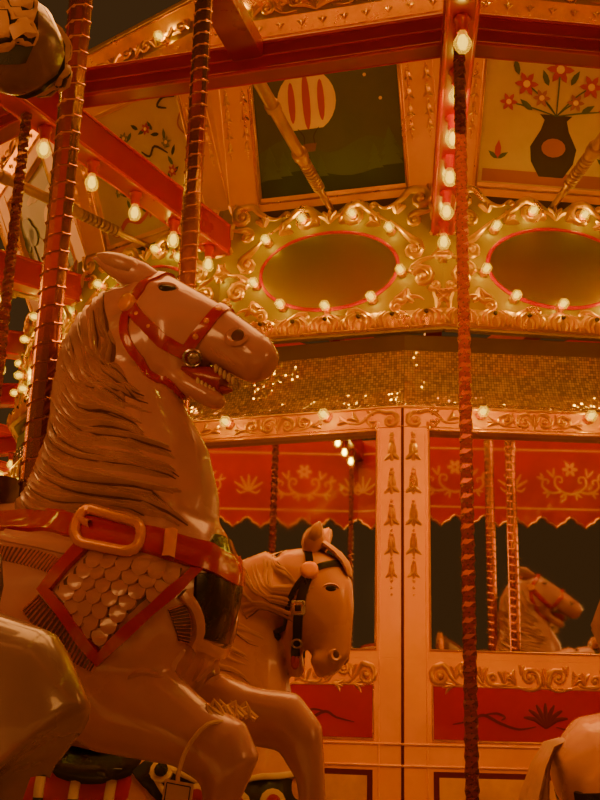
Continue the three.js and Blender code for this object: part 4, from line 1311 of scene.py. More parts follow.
# Muscles on the trunk and swellings of the head: place, size and turn
muscles = [((0.3, 0.1, 0.87), (0.15, 0.09, 0.17), 0.4), ((0.4, 0.065, 0.93), (0.08, 0.065, 0.12), 0.2),
           ((-0.52, 0.1, 0.98), (0.18, 0.09, 0.19), 0.0)]
headSwells = [((0.115, 0.048, -0.1), (0.075, 0.035, 0.07), 0.0),
              ((0.13, 0.052, 0.03), (0.05, 0.024, 0.02), 0.3),
              ((0.36, 0.034, -0.02), (0.034, 0.024, 0.028), 0.0)]
horseBuild = {"voxel": 0.0085, "smooth": 4, "heroShare": 0.24, "midShare": 0.065, "farShare": 0.024,
              "tackShare": 0.21}


def sectionRing(part, section, side, segments):
    top, bottom, halfWidth = Vector(section[:2]), Vector(section[2:4]), section[4]
    centre, reach = (top + bottom) / 2, (top - bottom) / 2
    ring = bmesh.ops.create_circle(part, cap_ends=False, radius=1.0, segments=segments)["verts"]
    for vert in ring:
        across, along = vert.co.x, vert.co.y
        vert.co = (centre.x + reach.x * along, side + halfWidth * across, centre.y + reach.y * along)
    return set(ring)


def addLoft(shape, sections, side=0.0, segments=14, finish=0):
    part = bmesh.new()
    rings = [sectionRing(part, section, side, segments) for section in sections]
    loops = [[edge for edge in part.edges if ring.issuperset(edge.verts)] for ring in rings]
    for first, second in zip(loops, loops[1:]):
        bmesh.ops.bridge_loops(part, edges=first + second)
    bmesh.ops.holes_fill(part, edges=loops[0] + loops[-1])
    bmesh.ops.recalc_face_normals(part, faces=part.faces)
    joinInto(shape, part, Matrix(), finish)


def withModifier(shape, kind, **values):
    data = toMesh(shape, "work")
    work = bpy.data.objects.new("work", data)
    bpy.context.scene.collection.objects.link(work)
    modifier = work.modifiers.new(kind.lower(), kind)
    for key, value in values.items():
        setattr(modifier, key, value)
    evaluated = work.evaluated_get(bpy.context.evaluated_depsgraph_get())
    finished = bpy.data.meshes.new_from_object(evaluated)
    bpy.data.objects.remove(work)
    bpy.data.meshes.remove(data)
    return finished


def shiftSections(sections, shift):
    dx, dz = shift
    return [(ax + dx, az + dz, bx + dx, bz + dz, width) for ax, az, bx, bz, width in sections]


def headMatrix(style):
    crown, muzzle = style["head"][0], style["head"][-1]
    shift = style["headShift"]
    along = Vector((muzzle[0] - crown[0], 0, muzzle[1] - crown[1]))
    turn = math.atan2(-along.z, along.x)
    return moved(crown[0] + shift[0], 0, crown[1] + shift[1]) @ Matrix.Rotation(turn, 4, "Y")


def addSwell(shape, at, size, turn):
    addBall(shape, size, moved(*at) @ Matrix.Rotation(turn, 4, "Y"))


def carveHorse(style):
    shape = bmesh.new()
    shift = style["headShift"]
    addLoft(shape, torsoSections, segments=18)
    addLoft(shape, style["neck"], segments=16)
    addLoft(shape, shiftSections(style["head"], shift), segments=16)
    addLoft(shape, shiftSections(style["jaw"], shift), segments=12)
    for leg, side in ((style["nearFore"], -1), (style["farFore"], 1), (hindBack, -1), (hindUnder, 1)):
        addLoft(shape, leg, side * legSide)
    for (x, y, z), size, turn in muscles:
        for side in (-1, 1):
            addSwell(shape, (x, side * y, z), size, turn)
    for side in (-1, 1):
        for (x, y, z), size, turn in headSwells:
            addSwell(shape, headMatrix(style) @ Vector((x, side * y, z)), size, turn)
    rough = withModifier(shape, "REMESH", mode="VOXEL", voxel_size=horseBuild["voxel"])
    shape = bmesh.new()
    addMesh(shape, rough)
    for step in range(horseBuild["smooth"]):
        bmesh.ops.smooth_vert(shape, verts=shape.verts, factor=0.5, use_axis_x=True, use_axis_y=True,
                              use_axis_z=True)
    return shape


def thinned(data, share):
    work = bmesh.new()
    work.from_mesh(data)
    return withModifier(work, "DECIMATE", ratio=share)


# Every second group of middle horses starts high, and the inner ones beside it low
def horsePlace(row, bay):
    style = horseStyles[row]
    high = isGroupA(bay) == (row == "middle")
    lift = 0.0 if row == "outer" else (stroke / 2 if high else -stroke / 2)
    return (Matrix.Rotation(midBay + bay * bayAngle, 4, "Z")
            @ moved(style["forward"], -rowRadius[row], deckTop + lift) @ Matrix.Scale(style["scale"], 4))


# Tack and hair follow the carved body: every strip is laid on its surface
# A horse is its tack's mesh and the tree of its body; side is 1 on the near side, where y is below zero
tackParts = ["strap", "gold", "silver", "cream", "dark", "cloth", "leather", "gum", "hair", "hoof", "panel",
             "coat",
             "grooveShade"]
strapSection = [(-1.0, -0.6), (-0.9, 1.0), (0.0, 1.25), (0.9, 1.0), (1.0, -0.6)]
lockSection = [(-1.0, -0.45), (0.0, 1.0), (1.0, -0.45)]


def surfaceAt(tree, point):
    return tree.find_nearest(Vector(point))[:2]


def addOnBody(horse, points, widths, lift, finish="strap", steps=4, section=strapSection):
    shape, tree = horse
    feet = [surfaceAt(tree, point) for point in curvePath(points, steps)]
    if isinstance(widths, float):
        widths = [widths] * len(feet)
    strip = bmesh.new()
    rows = []
    for i, (foot, normal) in enumerate(feet):
        along = (feet[min(i + 1, len(feet) - 1)][0] - feet[max(i - 1, 0)][0]).normalized()
        side = along.cross(normal).normalized()
        row = []
        for across, out in section:
            edge, edgeNormal = surfaceAt(tree, foot + side * widths[i] * across)
            row.append(strip.verts.new(edge + edgeNormal * lift * out * widths[i] / max(widths)))
        rows.append(row)
    fillRows(strip, rows)
    joinInto(shape, strip, Matrix(), finish)


def addLock(horse, points, widths, lift, finish, steps):
    addOnBody(horse, points, widths, lift, finish, steps, lockSection)


def onSide(side, x, y, z):
    return x, side * y, z


def mirrorTo(side, points):
    return [onSide(side, *point) for point in points]


def overTop(half):
    return half + mirrorTo(-1, half[:-1])[::-1]


def withCorners(points):
    line = []
    for a, b in zip(points, points[1:]):
        line += [tuple(mixed(Vector(a), Vector(b), t)) for t in (0.0, 0.05, 0.5, 0.95)]
    return line + [points[-1]]


def squareToDisc(u, v):
    x, y = 2 * u - 1, 2 * v - 1
    return (x * math.sqrt(1 - y * y / 2) + 1) / 2, (y * math.sqrt(1 - x * x / 2) + 1) / 2


def addPatch(horse, side, corners, across, down, lift, finish, rounded=False):
    shape, tree = horse
    patch = bmesh.new()
    a, b, c, d = (Vector((x, side * -0.5, z)) for x, z in corners)
    grid = []
    for i in range(across + 1):
        row = []
        for j in range(down + 1):
            u, v = squareToDisc(i / across, j / down) if rounded else (i / across, j / down)
            start = mixed(mixed(a, b, u), mixed(d, c, u), v)
            hit, normal = tree.ray_cast(start, Vector((0, side, 0)))[:2]
            if hit is None:
                hit, normal = surfaceAt(tree, start)
            border = i in (0, across) or j in (0, down)
            row.append(patch.verts.new(hit + normal * (lift * (-0.6 if border else 1.0))))
        grid.append(row)
    for i in range(across):
        for j in range(down):
            patch.faces.new((grid[i][j], grid[i + 1][j], grid[i + 1][j + 1], grid[i][j + 1]))
    bmesh.ops.recalc_face_normals(patch, faces=patch.faces)
    if patch.faces[len(patch.faces) // 2].normal.y * side > 0:
        bmesh.ops.reverse_faces(patch, faces=patch.faces)
    joinInto(shape, patch, Matrix(), finish)


def pointAlong(path, t):
    at = t * (len(path) - 1)
    i = min(int(at), len(path) - 2)
    return mixed(path[i], path[i + 1], at - i)


def stations(count):
    return [0.0, 0.03] + [i / count for i in range(1, count)] + [0.97, 1.0]


def addSheet(horse, rows, across, down, lift, finish):
    shape, tree = horse
    lines = [curvePath(row, 4) for row in rows]
    sheet = bmesh.new()
    grid = []
    for v in stations(down):
        at = v * (len(lines) - 1)
        i = min(int(at), len(lines) - 2)
        line = []
        for u in stations(across):
            point = mixed(pointAlong(lines[i], u), pointAlong(lines[i + 1], u), at - i)
            foot, normal = surfaceAt(tree, point)
            edge = u in (0.0, 1.0) or v in (0.0, 1.0)
            line.append(sheet.verts.new(foot + normal * (-0.003 if edge else lift)))
        grid.append(line)
    fillRows(sheet, grid)
    sheet.normal_update()
    sheet.faces.ensure_lookup_table()
    middle = sheet.faces[len(sheet.faces) // 2]
    if middle.normal.dot(surfaceAt(tree, middle.calc_center_median())[1]) < 0:
        bmesh.ops.reverse_faces(sheet, faces=sheet.faces)
    joinInto(shape, sheet, Matrix(), finish)


def addThreads(horse, top, foot, count):
    lift = 0.009
    addSheet(horse, [top, foot], 6, 2, lift * 0.4, "leather")
    upper, lower = curvePath(top, 4), curvePath(foot, 4)
    pitch = sum((b - a).length for a, b in zip(upper, upper[1:])) / count
    for i in range(count):
        ends = [pointAlong(line, (i + 0.5) / count) for line in (upper, lower)]
        addLock(horse, ends, [pitch * 0.42, pitch * 0.45, pitch * 0.38], lift, "gold", 2)


def within(corners, x, z):
    turns = [(bx - ax) * (z - az) - (bz - az) * (x - ax)
             for (ax, az), (bx, bz) in zip(corners, corners[1:] + corners[:1])]
    return all(turn > 0 for turn in turns) or all(turn < 0 for turn in turns)


def onSurface(tree, point, out):
    place, normal = surfaceAt(tree, point)
    return Matrix.Translation(place + normal * out) @ normal.to_track_quat("Z", "X").to_matrix().to_4x4()


def addBoss(horse, point, profile, segments, finish="gold", out=0.004):
    addTurned(horse[0], profile, onSurface(horse[1], point, out), segments, finish)


def addStud(horse, point, radius):
    addBoss(horse, point, [(radius, -0.002), (radius * 0.9, radius * 0.6 * 0.6), (radius * 0.5, radius * 0.6),
                           (0.0, radius * 0.6)], 8)


def addRosette(horse, point, radius):
    addBoss(horse, point, [(radius, -0.006), (radius, 0.009), (radius * 0.9, 0.0125), (radius * 0.5, 0.0145),
                           (0.0, 0.0155)], 16)


def addRingAt(horse, point, radius, width):
    path = [(radius * math.cos(a), radius * math.sin(a), 0) for a in (k * math.pi / 7 for k in range(14))]
    addBar(horse[0], path, width, onSurface(horse[1], point, 0.012), "silver", 0, True)


def addFringe(horse, side, start, end, count, length):
    a, b = (Vector((x, side * -0.19, z)) for x, z in (start, end))
    width = (b - a).length / count * 0.46
    for i in range(count):
        root = mixed(a, b, (i + 0.5) / count)
        tip = root + Vector((0, 0, -1)) * length
        addLock(horse, [root, tip], [width, width, width * 0.5], 0.008, "gold", 2)


# Round scales in rows, each with a raised middle and its top under the row above
scales = {"pitch": 0.0335, "row": 0.0235, "size": 0.0185, "lift": 0.01, "slope": 0.16}


def addScale(horse, place, normal):
    size, lift = scales["size"], scales["lift"]
    up = normal.cross(Vector((1, 0, 0))).normalized()
    if up.z < 0:
        up = -up
    basis = Matrix((up.cross(normal).normalized(), up, normal)).transposed().to_4x4()
    scale = bmesh.new()
    angles = [k * math.pi / 6 for k in range(7)]
    foot = [scale.verts.new((size * math.cos(t), -size * 1.1 * math.sin(t), -0.002)) for t in angles]
    ring = [scale.verts.new((size * 0.95 * math.cos(t), -size * 1.05 * math.sin(t), lift)) for t in angles]
    ring += [scale.verts.new((size * 0.95 * k, size * 1.5, -lift * 0.3)) for k in (-1, 0, 1)]
    heart = scale.verts.new((0, -size * 0.2, lift * 1.15))
    fillRows(scale, [foot, ring[:7]])
    for k in range(len(ring)):
        scale.faces.new((ring[k], heart, ring[(k + 1) % len(ring)]))
    bmesh.ops.recalc_face_normals(scale, faces=scale.faces)
    if sum(face.normal.z for face in scale.faces) < 0:
        bmesh.ops.reverse_faces(scale, faces=scale.faces)
    joinInto(horse[0], scale, Matrix.Translation(place) @ basis, "coat")


def addScales(horse, side, outline):
    left, right = min(x for x, z in outline), max(x for x, z in outline)
    low, high = min(z for x, z in outline), max(z for x, z in outline)
    for j in range(int((high - low) / scales["row"]) + 2):
        for i in range(int((right - left) / scales["pitch"]) + 2):
            x = left + (i + 0.5 * (j % 2)) * scales["pitch"]
            z = high + 0.015 - j * scales["row"] - scales["slope"] * (x - left)
            if within(outline, x, z):
                addScale(horse, *surfaceAt(horse[1], (x, side * -0.17, z)))


def addMane(horse, crest, count, reach, drop, width, rise, seed):
    chance = random.Random(seed)
    line = facePath(crest, 12)
    shares = swell(13, 1.0, 0.05, 0.6)
    for side in (-1, 1):
        for i in range(count):
            t = min(max((i + chance.uniform(-0.3, 0.3)) / (count - 1), 0), 1)
            start = line[int(t * (len(line) - 1))]
            long = mixed(reach[0], reach[1], t ** 0.8) * chance.uniform(0.72, 1.12)
            fall = mixed(drop[0], drop[1], t) * chance.uniform(0.85, 1.15)
            wave = chance.uniform(-0.008, 0.012)
            points = [(start.x - 0.012, side * 0.006, start.z + 0.004),
                      (start.x + 0.08 * long, side * 0.1, start.z - 0.5 * fall),
                      (start.x + 0.34 * long, side * 0.15, start.z - 0.95 * fall + wave),
                      (start.x + 0.7 * long, side * 0.15, start.z - 1.1 * fall - wave),
                      (start.x + long, side * 0.15, start.z - 1.25 * fall)]
            wide = width * chance.uniform(0.7, 1.3)
            addLock(horse, points, [wide * share for share in shares], wide * rise, "hair", 3)
            # Painted shade: every third lock lays a thin dark strand beside it, in the groove between the
            # locks
            if i % 3 == 0:
                grooveShade = [(x + 0.012, y, z - 0.012) for x, y, z in points]
                addLock(horse, grooveShade, [width * 0.3 * share for share in shares], wide * rise * 0.8,
                        "grooveShade", 3)


def addStrand(shape, points, width):
    path = curvePath(points, 2)
    addBar(shape, path, swell(len(path), width, 0.2, 0.6), Matrix(), "hair", 0)


tail = {"strands": 24, "seed": 3, "width": 0.0125}


def addTail(shape):
    chance = random.Random(tail["seed"])
    for strand in range(tail["strands"]):
        side = chance.uniform(-0.05, 0.05)
        out = chance.uniform(-0.04, 0.045)
        end = chance.uniform(-0.06, 0.06)
        addStrand(shape, [(-0.69, side * 0.3, 1.12), (-0.755, side * 0.6, 1.1 + out * 0.3),
                          (-0.795 - out * 0.5, side, 0.98), (-0.8 - out, side * 1.3, 0.84),
                          (-0.77 - out * 0.6, side * 1.2 + end * 0.2, 0.72 + end)], tail["width"])


def addEars(shape, base, tip):
    for side in (-1, 1):
        root, top = (Vector((x, side * y, z)) for x, y, z in (base, tip))
        path = [mixed(root, top, t) for t in (-0.25, 0.0, 0.3, 0.55, 0.8, 1.0)]
        addBar(shape, path, [0.02, 0.03, 0.034, 0.029, 0.016, 0.002], Matrix(), "coat", 2)
        # Painted shade: the hollow of the ear is a strip in the darker hair paint
        inward = Vector((0.006, side * 0.018, 0.004))
        shadedHollow = [mixed(root, top, t) + inward for t in (0.0, 0.2, 0.45, 0.7, 0.9)]
        addBar(shape, shadedHollow, [0.004, 0.019, 0.022, 0.016, 0.004], Matrix(), "hair")


def addEyes(horse, x, y, z):
    shape, tree = horse
    size = 0.016
    for side in (-1, 1):
        place = onSurface(tree, (x, side * y, z), -0.004)
        addBall(shape, (size * 0.65, size * 1.3, size * 0.45), place, "dark", 12)
        turns = [math.pi * k / 8 for k in range(9)]
        lid = [(size * 0.8 * math.sin(a), size * 1.5 * math.cos(a), 0.004) for a in turns]
        addBar(shape, lid, swell(9, 0.0042, 0.2), place, "coat", 0)


def addNostrils(horse, x, y, z, size):
    shape, tree = horse
    for side in (-1, 1):
        # Painted shade: a flat dark disc stands for the nostril's hollow, inside a raised rim
        place = onSurface(tree, (x, side * y, z), 0.0005)
        addBall(shape, (size, size * 0.8, 0.0016), place, "leather", 10, 6)
        turns = [math.pi * k / 8 for k in range(13)]
        rim = [(size * 1.15 * math.cos(a), size * 0.95 * math.sin(a), 0.0) for a in turns]
        addBar(shape, rim, swell(13, 0.0075, 0.25), place, "coat", 0, flat=1.2)


mouth = {
    "gum": mm([(350, 1425, 360, 1400, 40), (420, 1420, 405, 1365, 36), (455, 1410, 440, 1355, 30)]),
    "tongue": mm([(380, 1395, 380, 1370, 22), (430, 1380, 425, 1358, 22), (457, 1374, 452, 1356, 16),
                  (468, 1366, 466, 1360, 5)]),
    "teeth": 5, "tooth": (0.0048, 0.005, 0.0105), "creases": 3,
}


def addMouth(horse):
    shape = horse[0]
    addLoft(shape, mouth["gum"], 0.0, 10, "gum")
    addLoft(shape, mouth["tongue"], 0.0, 8, "gum")
    for side in (-1, 1):
        for i in range(mouth["teeth"]):
            for x, z in ((0.438 + 0.0092 * i, 1.406 - 0.0068 * i), (0.397 + 0.0085 * i, 1.381 - 0.006 * i)):
                addBall(shape, mouth["tooth"], moved(x, side * (0.03 - 0.0025 * i), z), "cream", 8, 5)
        for i in range(mouth["creases"]):
            crease = [(0.425 + 0.012 * i, side * 0.05, 1.447 - 0.004 * i),
                      (0.432 + 0.014 * i, side * 0.05, 1.428 - 0.005 * i),
                      (0.447 + 0.015 * i, side * 0.045, 1.414 - 0.007 * i)]
            addLock(horse, crease, swell(9, 0.0052, 0.1), 0.0042, "coat", 4)


# Saddle: a low front, a deep seat and a rolled back, with a girth below
saddle = {
    "rows": [(-0.34, 1.2, 0.09), (-0.32, 1.255, 0.13), (-0.28, 1.24, 0.17), (-0.2, 1.185, 0.18),
             (-0.12, 1.17, 0.17), (-0.045, 1.185, 0.16)],
    "turns": [math.pi * k / 8 for k in range(9)],
    "girth": mm([(-160, -200, 920), (-160, -190, 800), (-160, -120, 670), (-160, 0, 640)]),
}


def addSaddle(horse):
    part = bmesh.new()
    rings = []
    for x, top, half in saddle["rows"]:
        arch = [(x, half * math.cos(a), top - 0.11 + 0.11 * math.sin(a) ** 0.7) for a in saddle["turns"]]
        rings.append([part.verts.new(point) for point in arch])
    fillRows(part, rings)
    for ring in (rings[0], rings[-1]):
        part.faces.new(ring)
    bmesh.ops.recalc_face_normals(part, faces=part.faces)
    joinInto(horse[0], part, Matrix(), "leather")
    turns = [math.pi * k / 10 for k in range(11)]
    rim = [(-0.335, 0.11 * math.cos(a), 1.15 + 0.115 * math.sin(a)) for a in turns]
    addBar(horse[0], rim, 0.014, Matrix(), "gold")
    addOnBody(horse, overTop(saddle["girth"]), 0.028, 0.008)


# Bridle of the middle and outer rows, from the rosette below the ear
bridle = {
    "rosette": mm((232, -78, 1562)),
    "crown": mm([(232, -78, 1562), (255, -68, 1589), (277, -55, 1620), (290, -36, 1642), (298, 0, 1660)]),
    "nose": mm([(372, -50, 1440), (395, -56, 1470), (418, -54, 1498), (436, -36, 1530), (450, 0, 1565)]),
    "cheek": mm([(232, -78, 1562), (268, -80, 1520), (309, -76, 1480), (345, -62, 1452), (378, -45, 1438)]),
    "throat": mm([(232, -78, 1562), (236, -78, 1490), (262, -72, 1437), (300, -55, 1395), (338, -30, 1373),
                  (345, 0, 1368)]),
}


def addHeadStraps(horse, *straps):
    for half, width in straps:
        addOnBody(horse, overTop(half), width, 0.006)


def addHaunchStrap(horse, side, line, width, studs=(), studAt=(), studRadius=0.012):
    addOnBody(horse, mirrorTo(side, line), width, 0.008)
    for x in studs:
        addStud(horse, onSide(side, x, *studAt), studRadius)


# Middle row: breast strap with buckles, diamonds of scales, collar and corded trim
middleTack = {
    "noseStuds": mm([(262, -80, 1530), (295, -78, 1497), (397, -56, 1474), (420, -52, 1507),
                     (437, -34, 1535)]),
    "breast": mm([(-260, -200, 1070), (-120, -200, 1095), (22, -190, 1100), (150, -180, 1068),
                  (267, -165, 1035), (350, -160, 1014), (420, -140, 998), (478, -90, 982), (508, 0, 972)]),
    "collar": mm([[(460, -135, 950), (490, -90, 955), (510, 0, 960)],
                  [(462, -128, 900), (487, -80, 905), (503, 0, 905)], [(466, -110, 860), (485, -70, 860),
                  (497, 0, 862)], [(460, -92, 822), (472, -50, 816), (478, 0, 812)]]),
    "throatPlate": mm([[(470, -60, 1040), (482, 0, 1045)], [(460, -100, 1000), (500, 0, 1000)]]),
    "collarRoll": mm([(450, -92, 812), (466, -50, 803), (474, 0, 797)]),
    "buckle": mm([(45, 6), (-45, 6), (-45, -6), (45, -6)]),
    "bitBoss": [(0.015, -0.004), (0.015, 0.008), (0.011, 0.011), (0.0, 0.011)],
    "pin": mm([(205, -170, 1058), (235, -170, 1046)]),
    "keeper": mm([(410, -150, 1036), (406, -150, 1000), (401, -150, 968)]),
    "diamond": mm([(206, -165, 1000), (141, -180, 909), (281, -170, 762), (478, -128, 957)]),
    "scaleGround": mm([(236, -165, 990), (171, -180, 910), (287, -170, 795), (449, -137, 958)]),
    "threads": [(*mm(([(141, -180, 900), (210, -180, 835), (278, -170, 765)],
                      [(108, -181, 870), (180, -180, 790), (268, -165, 750)])), 22),
                (*mm(([(30, -150, 1000), (120, -170, 992), (185, -170, 970)],
                      [(30, -150, 968), (100, -170, 958), (168, -170, 938)])), 18),
                (*mm(([(412, -156, 872), (424, -150, 845), (428, -130, 813)],
                      [(438, -140, 885), (450, -117, 850), (442, -100, 806)])), 12)],
    "bands": [(mm([(30, -150, 1025), (120, -170, 1012), (200, -170, 992)]), 0.015, 0.008),
              (mm([(438, -145, 905), (462, -118, 872), (462, -95, 830), (444, -94, 800)]), 0.012, 0.012)],
    "ribs": mm([[(437, -100, 795), (428, -105, 775), (408, -104, 755)],
                [(450, -75, 787), (440, -70, 765), (413, -60, 742)], [(460, -38, 780), (448, -30, 757),
                (422, -10, 737)], [(337, -156, 740), (364, -148, 754), (400, -130, 744)]]),
    "cloth": mm([(-400, 1120), (20, 1100), (0, 780), (-360, 800)]),
    "clothBand": mm([(-360, -200, 815), (-180, -200, 790), (-10, -200, 800)]),
    "flap": mm([(-300, 1160), (-50, 1140), (-80, 900), (-260, 920)]),
    "crupper": mm([(-340, -130, 1140), (-500, -90, 1210), (-640, -50, 1200), (-720, -20, 1140)]),
    "haunch": mm([(-360, -200, 980), (-500, -200, 970), (-640, -170, 950), (-720, -80, 940)]),
}


def addBuckle(horse, side):
    shape, tree = horse
    loop = []
    for start, (cx, cz) in enumerate(middleTack["buckle"]):
        for k in range(5):
            a = (start + k / 4) * math.pi / 2
            x, z = cx + 0.028 * math.cos(a), cz + 0.034 * math.sin(a)
            foot, normal = surfaceAt(tree, (0.275 + x, side * -0.17, 1.03 + z - 0.22 * x))
            loop.append(foot + normal * 0.016)
    addBar(shape, loop, 0.0115, Matrix(), "gold", closed=True)
    addOnBody(horse, mirrorTo(side, middleTack["pin"]), 0.006, 0.024, "gold", 2)
    addOnBody(horse, mirrorTo(side, middleTack["keeper"]), 0.013, 0.02, "gold", 2)


def dressMiddle(horse):
    spec = middleTack
    addHeadStraps(horse, (bridle["crown"], 0.014), (bridle["nose"], 0.014), (bridle["throat"], 0.011))
    for side in (1, -1):
        addOnBody(horse, mirrorTo(side, bridle["cheek"]), 0.0165, 0.007)
        addRosette(horse, onSide(side, *bridle["rosette"]), 0.022)
        for point in mirrorTo(side, spec["noseStuds"]):
            addStud(horse, point, 0.008)
        addBoss(horse, (0.392, side * -0.045, 1.426), spec["bitBoss"], 12, "silver", 0.006)
        addRingAt(horse, (0.388, side * -0.045, 1.428), 0.02, 0.003)
    half = taper(25, 0.026, 0.031) + taper(8, 0.031, 0.034)
    addOnBody(horse, overTop(spec["breast"]), half + half[-2::-1], 0.012)
    addSheet(horse, [overTop(row) for row in spec["collar"]], 10, 6, 0.007, "dark")
    addSheet(horse, [overTop(row) for row in spec["throatPlate"]], 8, 3, 0.006, "dark")
    addOnBody(horse, overTop(spec["collarRoll"]), 0.0125, 0.013, "coat", 3)
    for side in (1, -1):
        addBuckle(horse, side)
        inner = [point[::2] for point in spec["scaleGround"]]
        addPatch(horse, side, [inner[k] for k in (0, 3, 2, 1)], 12, 10, 0.004, "leather")
        addScales(horse, side, inner)
        frame = [withCorners(mirrorTo(side, spec[line])) for line in ("diamond", "scaleGround")]
        addSheet(horse, frame, 30, 1, 0.014, "strap")
        for top, foot, count in spec["threads"]:
            addThreads(horse, mirrorTo(side, top), mirrorTo(side, foot), count)
        for band, width, lift in spec["bands"]:
            addOnBody(horse, mirrorTo(side, band), width, lift, "coat", 3)
        for rib in spec["ribs"]:
            addLock(horse, mirrorTo(side, rib), swell(9, 0.01, 0.2), 0.007, "coat", 4)
        addPatch(horse, side, spec["cloth"], 9, 8, 0.01, "cloth")
        addOnBody(horse, mirrorTo(side, spec["clothBand"]), 0.017, 0.015)
        addFringe(horse, side, (-0.37, 0.8), (0.0, 0.775), 26, 0.045)
        addPatch(horse, side, spec["flap"], 7, 8, 0.022, "leather")
    addSaddle(horse)
    for side in (1, -1):
        addOnBody(horse, mirrorTo(side, spec["crupper"]), 0.014, 0.007)
        addHaunchStrap(horse, side, spec["haunch"], 0.02, (-0.45, -0.55, -0.64), (-0.19, 0.965))


# Inner row: a broad patterned harness with round plates, blinkers and a drop on the bridle
innerTack = {
    "rosette": mm((476, -70, 1585)),
    "crown": mm([(476, -70, 1585), (470, -60, 1630), (455, -30, 1665), (450, 0, 1675)]),
    "brow": mm([(476, -70, 1585), (505, -62, 1600), (540, -35, 1610), (552, 0, 1610)]),
    "cheek": mm([(476, -70, 1585), (462, -80, 1530), (450, -80, 1476), (440, -60, 1410), (433, -40, 1340)]),
    "throat": mm([(476, -70, 1585), (440, -78, 1540), (400, -75, 1470), (375, -50, 1410), (370, 0, 1390)]),
    "cloth": mm([(-420, 1140), (20, 1120), (0, 760), (-400, 780)]),
    "flap": mm([(-300, 1200), (30, 1200), (30, 950), (-300, 950)]),
    "harness": mm([(30, -200, 1080), (120, -200, 985), (260, -190, 930), (400, -150, 950), (505, 0, 930)]),
    "plates": mm([(85, 1020), (200, 950), (320, 935), (425, 950)]),
    "plate": [(0.036, -0.004), (0.036, 0.008), (0.026, 0.01), (0.0, 0.008)],
    "plateHeart": [(0.02, 0.006), (0.02, 0.014), (0.0, 0.016)],
    "haunch": mm([(-360, -200, 980), (-500, -200, 990), (-640, -170, 980), (-720, -80, 970)]),
}


def dressInner(horse):
    shape, tree = horse
    spec = innerTack
    addHeadStraps(horse, (spec["crown"], 0.012), (spec["brow"], 0.01), (spec["throat"], 0.009))
    for side in (1, -1):
        addOnBody(horse, mirrorTo(side, spec["cheek"]), 0.0145, 0.007)
        addRosette(horse, onSide(side, *spec["rosette"]), 0.027)
        addRingAt(horse, (0.436, side * -0.05, 1.375), 0.014, 0.0035)
        place = onSurface(tree, (0.45, side * -0.08, 1.476), 0.01)
        addBlock(shape, (-0.021, -0.021, 0), (0.021, 0.021, 0.008), place, "silver", 0.003)
        addBlock(shape, (-0.009, -0.009, 0.004), (0.009, 0.009, 0.0095), place, "dark", 0.001)
        addBall(shape, (0.026, 0.014, 0.006), onSurface(tree, (0.43, side * -0.04, 1.328), 0.002), "gum", 10)
        addPatch(horse, side, spec["cloth"], 9, 8, 0.01, "cloth")
        for x in (-0.37, -0.28, -0.17, -0.06):
            for j in range(5):
                z = mixed(0.78, 1.02, j / 4)
                lozenge = [(x, side * -0.2, z - 0.03), (x, side * -0.2, z + 0.03)]
                addOnBody(horse, lozenge, 0.0165, 0.014, "cream" if j % 2 else "panel", 2)
        addPatch(horse, side, spec["flap"], 9, 9, 0.024, "dark", True)
        addFringe(horse, side, (-0.4, 0.78), (0.0, 0.76), 24, 0.05)
        harness = mirrorTo(side, spec["harness"])
        addOnBody(horse, harness, 0.062, 0.007, "panel")
        for rise in (-0.058, 0.058):
            addOnBody(horse, [(x - rise * 0.4, y, z + rise) for x, y, z in harness], 0.009, 0.012, "cream")
        for x, z in spec["plates"]:
            at = (x, side * -0.18, z)
            addBoss(horse, at, spec["plate"], 14, "cream")
            addBoss(horse, at, spec["plateHeart"], 12, "strap" if x < 0.1 else "gum")
        addHaunchStrap(horse, side, spec["haunch"], 0.02)
    addSaddle(horse)


# Outer row: plates like feathers on the muzzle, and a breast strap with gold drops
outerTack = {
    "muzzle": mm([[(420, -50, 1560), (475, -45, 1560), (535, -30, 1520)],
                  [(410, -60, 1490), (475, -55, 1490), (560, -30, 1480)],
                  [(420, -60, 1440), (480, -55, 1420), (565, -30, 1420)],
                  [(450, -50, 1410), (500, -40, 1385), (550, -25, 1385)]]),
    "feathers": [(0.44, 1.56, 0.075, 0.019, 0.1), (0.48, 1.565, 0.075, 0.02, 0.2),
                 (0.515, 1.545, 0.07, 0.018, 0.35), (0.425, 1.505, 0.07, 0.02, 0.0),
                 (0.463, 1.51, 0.085, 0.024, 0.12), (0.505, 1.505, 0.085, 0.023, 0.2),
                 (0.543, 1.49, 0.07, 0.018, 0.3), (0.445, 1.45, 0.06, 0.02, -0.1),
                 (0.485, 1.45, 0.065, 0.021, 0.05), (0.525, 1.44, 0.06, 0.02, 0.15),
                 (0.555, 1.43, 0.045, 0.015, 0.2)],
    "featherLayers": [(1.0, 0.011, "panel"), (0.74, 0.0125, "dark"), (0.66, 0.015, "panel")],
    "flap": mm([(-320, 1160), (-50, 1140), (-80, 900), (-280, 920)]),
    "drop": [(0.0, 0.0), (0.008, 0.05), (0.012, 0.085)],
    "breast": mm([(0, -200, 1080), (150, -180, 1030), (300, -170, 980), (420, -140, 950), (508, 0, 930)]),
    "haunch": mm([(-400, -200, 980), (-500, -200, 990), (-640, -170, 980), (-720, -80, 970)]),
}


def addFeather(horse, root, reach, half, lean):
    fall = Vector((math.sin(lean), 0, -math.cos(lean))) * reach
    for layer, (share, lift, finish) in enumerate(outerTack["featherLayers"]):
        path = [root + fall * t for t in (0.06 * layer, 0.5, 1.0 - 0.12 * layer)]
        widths = [half * share * w for w in (0.86, 0.97, 1.0, 1.0, 0.9, 0.62, 0.1)]
        addOnBody(horse, path, widths, lift, finish, 3)
    heart = [root + fall * t for t in (0.08, 0.3, 0.55)]
    addLock(horse, heart, [half * w for w in (0.3, 0.38, 0.34, 0.2, 0.05)], 0.0175, "dark", 2)


